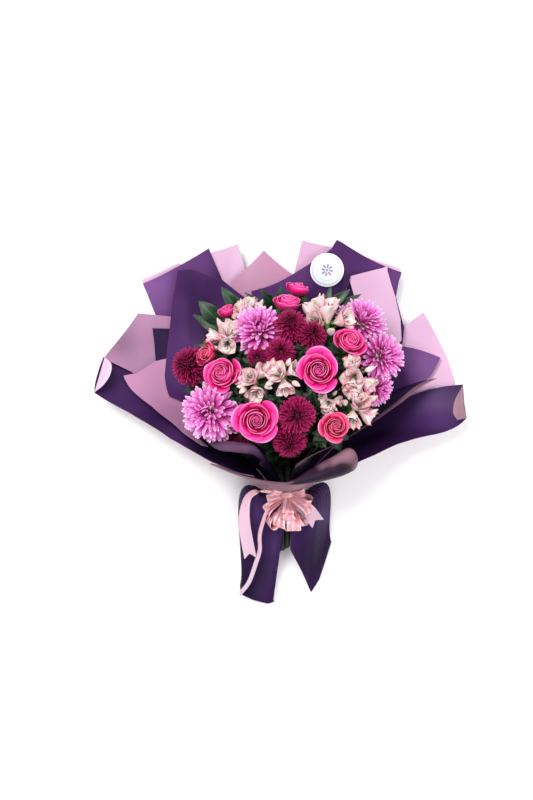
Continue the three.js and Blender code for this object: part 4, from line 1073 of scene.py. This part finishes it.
def make_stems():
    rng = np.random.default_rng(7)
    stems, leaves = Cloud(), Cloud()
    for k, (_, _, centre, radius, way) in enumerate(HEADS):
        way = unit(way)
        start = np.array(centre, float) - way * (1.1 * radius + 0.3)
        spread = place_in_tie(start) * 0.75 + rng.uniform(-4, 4, 2)
        path = stem_path(start, way, spread)
        tube(stems, path, 2.1 + 0.3 * rng.uniform(), 8, 0, tone=rng.uniform(0.4, 1))
        for i in range(6):
            foot = start + way * radius * rng.uniform(-0.25, 0.3)
            around = basis(way, i * GOLDEN + k)[:, 0]
            reach = radius * rng.uniform(0.95, 1.3)
            tip = foot + around * reach + way * radius * rng.uniform(0.05, 0.5)
            blade_leaf(leaves, foot, tip, rng.uniform(7, 11), rng.uniform(0.35, 1))
        # Broad leaves under each bloom, toned very dark (tone 0 to 0.25): painted shade under and between
        # the blooms.
        for i in range(9):
            foot = start - way * radius * rng.uniform(0, 0.5)
            around = basis(way, i * GOLDEN * 1.7 + k)[:, 0]
            tip = foot + around * radius * rng.uniform(1.1, 1.6) + way * radius * rng.uniform(-0.3, 0.15)
            blade_leaf(leaves, foot, tip, rng.uniform(13, 19), rng.uniform(0, 0.25), gutter=0.25)
    for k, place in enumerate(FILLERS):
        place = np.array(place, float)
        out = unit(place - TIE)
        foot = TIE + out * 60
        tube(leaves, spline([foot, lerp(foot, place, 0.6), place], 12), 0.9, 6, 0, tone=0.5)
        for i in range(9):
            foot = place - out * 4 * (i % 4)
            around = basis(out, i * GOLDEN + k)[:, 0]
            tip = foot + around * rng.uniform(9, 15) + out * rng.uniform(3, 9)
            blade_leaf(leaves, foot, tip, rng.uniform(4.5, 7), rng.uniform(0.5, 1), 0.1, 0.25)
    stems.build("stem_bundle", [STALK], node="stems", slot="stem")
    leaves.build("stem_leaves", [SMALL_LEAF], 0.35, slot="leaf")


# ---- Satin ribbon ----
KNOT = np.array([10.0, -104.0, 64.6])
BAND_RADIUS, BAND_LOW, BAND_WIDTH = 28.0, -107.2, 11.2
# Way from the knot, length, height, width, lean and seed of each loop
LOOPS = [(-134, 40, 15, 20, 35, 0), (-113, 53, 13, 18, 66, 1), (-97, 49, 18, 22, 30, 2),
         (-82, 53, 18, 22, -12, 3), (-64, 50, 16, 22, 28, 4), (-45, 42, 16, 20, -35, 5),
         (-158, 30, 14, 18, 20, 6), (-18, 36, 14, 20, 30, 7), (-104, 36, 30, 19, -25, 8),
         (-72, 36, 30, 20, 20, 9), (-88, 26, 36, 18, 0, 10), (165, 24, 12, 14, -20, 11),
         (14, 26, 12, 14, 20, 12)]


def strip(path, width, across, count=30, columns=13, cut=0.0, gather=0.35, spread=0.3, pleat=0.8,
          seed=0):
    """Satin along a path, gathered at its start; cut: how far the corners pass the middle."""
    line = spline(path, count)
    along = unit(np.gradient(line, axis=0))
    across = np.asarray(across, float)
    side = unit(across[None] - along * (along @ across)[:, None])
    normal = np.cross(side, along)
    t = np.linspace(0, 1, count)[:, None]
    s = np.linspace(-1, 1, columns)[None, :]
    half = width / 2 * lerp(gather, 1.0, smooth(t, 0, spread))
    gathered = np.cos(2.5 * np.pi * s + seed) * (1 - smooth(t, 0, 0.6))
    ripple = pleat * (gathered + 0.5 * np.sin(2.2 * s + 5 * t + seed))
    end = cut * np.abs(s) * smooth(t, 0.8, 1)
    return (line[:, None] + side[:, None] * (half * s)[..., None] + normal[:, None] * ripple[..., None]
            + along[:, None] * end[..., None])


def loop(way, length, height, width, lean, seed):
    """A loop of ribbon: out from the knot and back below, leaning about its own way."""
    a, lean = math.radians(way), math.radians(lean)
    out = level(a)
    side = np.array([-math.sin(a), math.cos(a), 0]) * math.cos(lean) + UP * math.sin(lean)
    rise = np.cross(side, out)
    rise = rise if rise[2] > 0 else -rise
    t = np.linspace(0, 1, 40)[:, None]
    s = np.linspace(-1, 1, 13)[None, :]
    bow = np.sin(np.pi * t)
    far = length * bow ** 0.8 * (1 + 0.03 * s)
    high = height * (0.62 * np.sin(2 * np.pi * t) * bow ** 0.3 + 0.3 * bow)
    wide = width / 2 * (0.35 + 0.65 * bow ** 0.7)
    ripple = 1.3 * (1 - 0.8 * bow) * np.cos(2.5 * np.pi * s + seed) * bow ** 0.3
    return KNOT + out * far[..., None] + side * (wide * s)[..., None] + rise * (high + ripple)[..., None]


def satin_grid(cloud, points, tone=0.0):
    rows, columns = points.shape[:2]
    cloud.grid(points, 0, tip=np.linspace(0, 1, rows)[:, None], tone=tone,
               across=np.linspace(-1, 1, columns)[None, :])


def ribbon_tail(name, points):
    """A tail of the bow."""
    cloud = Cloud()
    satin_grid(cloud, points, smooth(np.linspace(0, 1, len(points)), 0.1, 0.7)[:, None])
    piece = cloud.build(name, [SATIN], 0.3, 1, node="ribbon_bow", slot="satin")


def make_band():
    cloud = Cloud()
    a = np.linspace(0, 2 * np.pi, 97)[None, :]
    v = np.linspace(0, 1, 20)[:, None]
    folds = 0.35 * np.sin(5 * np.pi * v + 0.6 * np.sin(3 * a))
    radius = BAND_RADIUS + folds + 0.4 * np.sin(2 * a)
    y = BAND_LOW + BAND_WIDTH * v + 0.5 * np.sin(4 * a) * (1 - v)
    ring = np.stack([TIE[0] + radius * np.cos(a), y, TIE[2] + radius * np.sin(a)], -1)
    cloud.grid(ring, 0, tip=a / 6, across=2 * v - 1)
    cloud.build("ribbon_band_satin", [SATIN], 0.5, node="ribbon_band", slot="satin")


def make_bow():
    cloud = Cloud()
    for shape in LOOPS:
        satin_grid(cloud, loop(*shape))
    t = np.linspace(0, np.pi, 18)[:, None]
    turn = np.linspace(0, 2 * np.pi, 33)[None, :]
    bulge = 1 + 0.07 * np.cos(6 * turn) * np.sin(t)
    knot = np.stack(np.broadcast_arrays(
        9 * np.cos(t), 6.5 * np.sin(t) * np.cos(turn) * bulge, 6 * np.sin(t) * np.sin(turn) * bulge), -1)
    cloud.grid(KNOT + [0, 0, 3] + knot, 0, tip=0.5, across=np.sin(3 * turn))
    cloud.build("bow_loops", [SATIN], 0.3, 1, node="ribbon_bow", slot="satin")

    x, y, z = KNOT
    short = strip([[x + 5, y - 2, z], [28, -116, 70], [42, -129, 69], [51, -141, 64]], 21,
                  [0.86, 0.5, 0], cut=8, seed=1)
    ribbon_tail("bow_tail_short", short)
    broad = strip([[x - 6, y, z], [-26, -98, 74], [-44, -104, 72], [-51, -122, 66], [-52, -150, 58],
                   [-45, -192, 48]], 18, [1, 0.1, 0.1], 44, cut=8, gather=0.2, spread=0.8, seed=2)
    ribbon_tail("bow_tail_broad", broad)
    thin = strip([[x - 3, y - 3, z], [-16, -122, 78], [-25, -142, 74], [-30, -163, 68],
                  [-30, -185, 60], [-36, -207, 50], [-46, -236, 36], [-60, -256, 24]], 10,
                 [0.5, 0.1, 0.86], 60, 5, gather=0.5, pleat=0.2, seed=3)
    ribbon_tail("bow_tail_thin", thin)


# ---- Sticker: a plain round label with printed rings, dots and a small flower ----
LABEL_AT, LABEL_LAYER = 286.8, 2.7
LABEL = [(0.001, -0.3), (24.7, -0.3), (25, -0.2), (25, 0.2), (24.8, 0.35), (0.001, 0.35)]
RINGS = [[(21.6, 0.34), (21.7, 0.45), (22.3, 0.45), (22.4, 0.34)],
         [(20.3, 0.34), (20.35, 0.42), (20.55, 0.42), (20.6, 0.34)]]
PETAL, PETALS, PETAL_AT = [(0.001, 0.45), (3.4, 0.45), (3.5, 0.34)], 8, 6.2
DOT, DOTS, DOT_AT = [(0.001, 0.42), (0.5, 0.42), (0.6, 0.34)], 24, 15.5
HEART = [(0.001, 0.48), (1.9, 0.48), (2.1, 0.34)]


def print_material(name, scale, dark, light, **inputs):
    n = Nodes(name)
    tone = n.blend(n.noise(scale, 2), 0.3, 0.7, srgb(*dark), srgb(*light))
    return n.finish(Base_Color=tone, **inputs)


def make_sticker():
    foot, head = [on_layer(LABEL_AT, along, LABEL_LAYER) for along in (0.7, 0.97)]
    left, right = [on_layer(LABEL_AT + turn, 0.97, LABEL_LAYER) for turn in (-5, 5)]
    face = unit(np.cross(right - left, head - foot))
    place = lerp(foot, head, 0.745) + face * 1.8
    up = unit((head - foot) - face * ((head - foot) @ face))
    side = np.cross(up, face)
    cloud = Cloud()

    def disc(profile, slot, columns=96, at=0.0, angle=0.0, squeeze=1.0, spin=0.0):
        """A turned profile of (radius, lift), on the label at a distance and angle from its middle."""
        a = np.linspace(0, 2 * np.pi, columns + 1)
        co, si = math.cos(spin), math.sin(spin)
        middle = at * level(angle)
        rows = []
        for radius, lift in profile:
            u, w = radius * np.cos(a), radius * np.sin(a) * squeeze
            u, w = u * co - w * si + middle[0], u * si + w * co + middle[1]
            rows.append(place + side * u[:, None] + up * w[:, None] + face * lift)
        cloud.grid(np.array(rows), slot)

    disc(LABEL, 0)
    for profile in RINGS:
        disc(profile, 1)
    for k in range(PETALS):
        angle = k * 2 * np.pi / PETALS
        disc(PETAL, 1, 24, PETAL_AT, angle, 0.45, angle)
    disc(HEART, 1, 32)
    for k in range(DOTS):
        disc(DOT, 1, 10, DOT_AT, (k + 0.5) * 2 * np.pi / DOTS)
    label = print_material("label_paper", 60, (226, 234, 242), (236, 242, 248), Roughness=0.4,
                           Coat_Weight=0.3, Coat_Roughness=0.2)
    ink = print_material("label_ink", 300, (136, 126, 158), (164, 152, 182), Roughness=0.5)
    cloud.build("sticker_label", [label, ink], node="sticker", slot="label")


look_down()
studio()
for sheet in SHEETS:
    film_sheet(*sheet)
collars()
film_tail("tail_left", TAIL_LEFT, 3)
film_tail("tail_right", TAIL_RIGHT, 4)
make_heads()
make_stems()
make_sprigs()
make_band()
make_bow()
make_sticker()
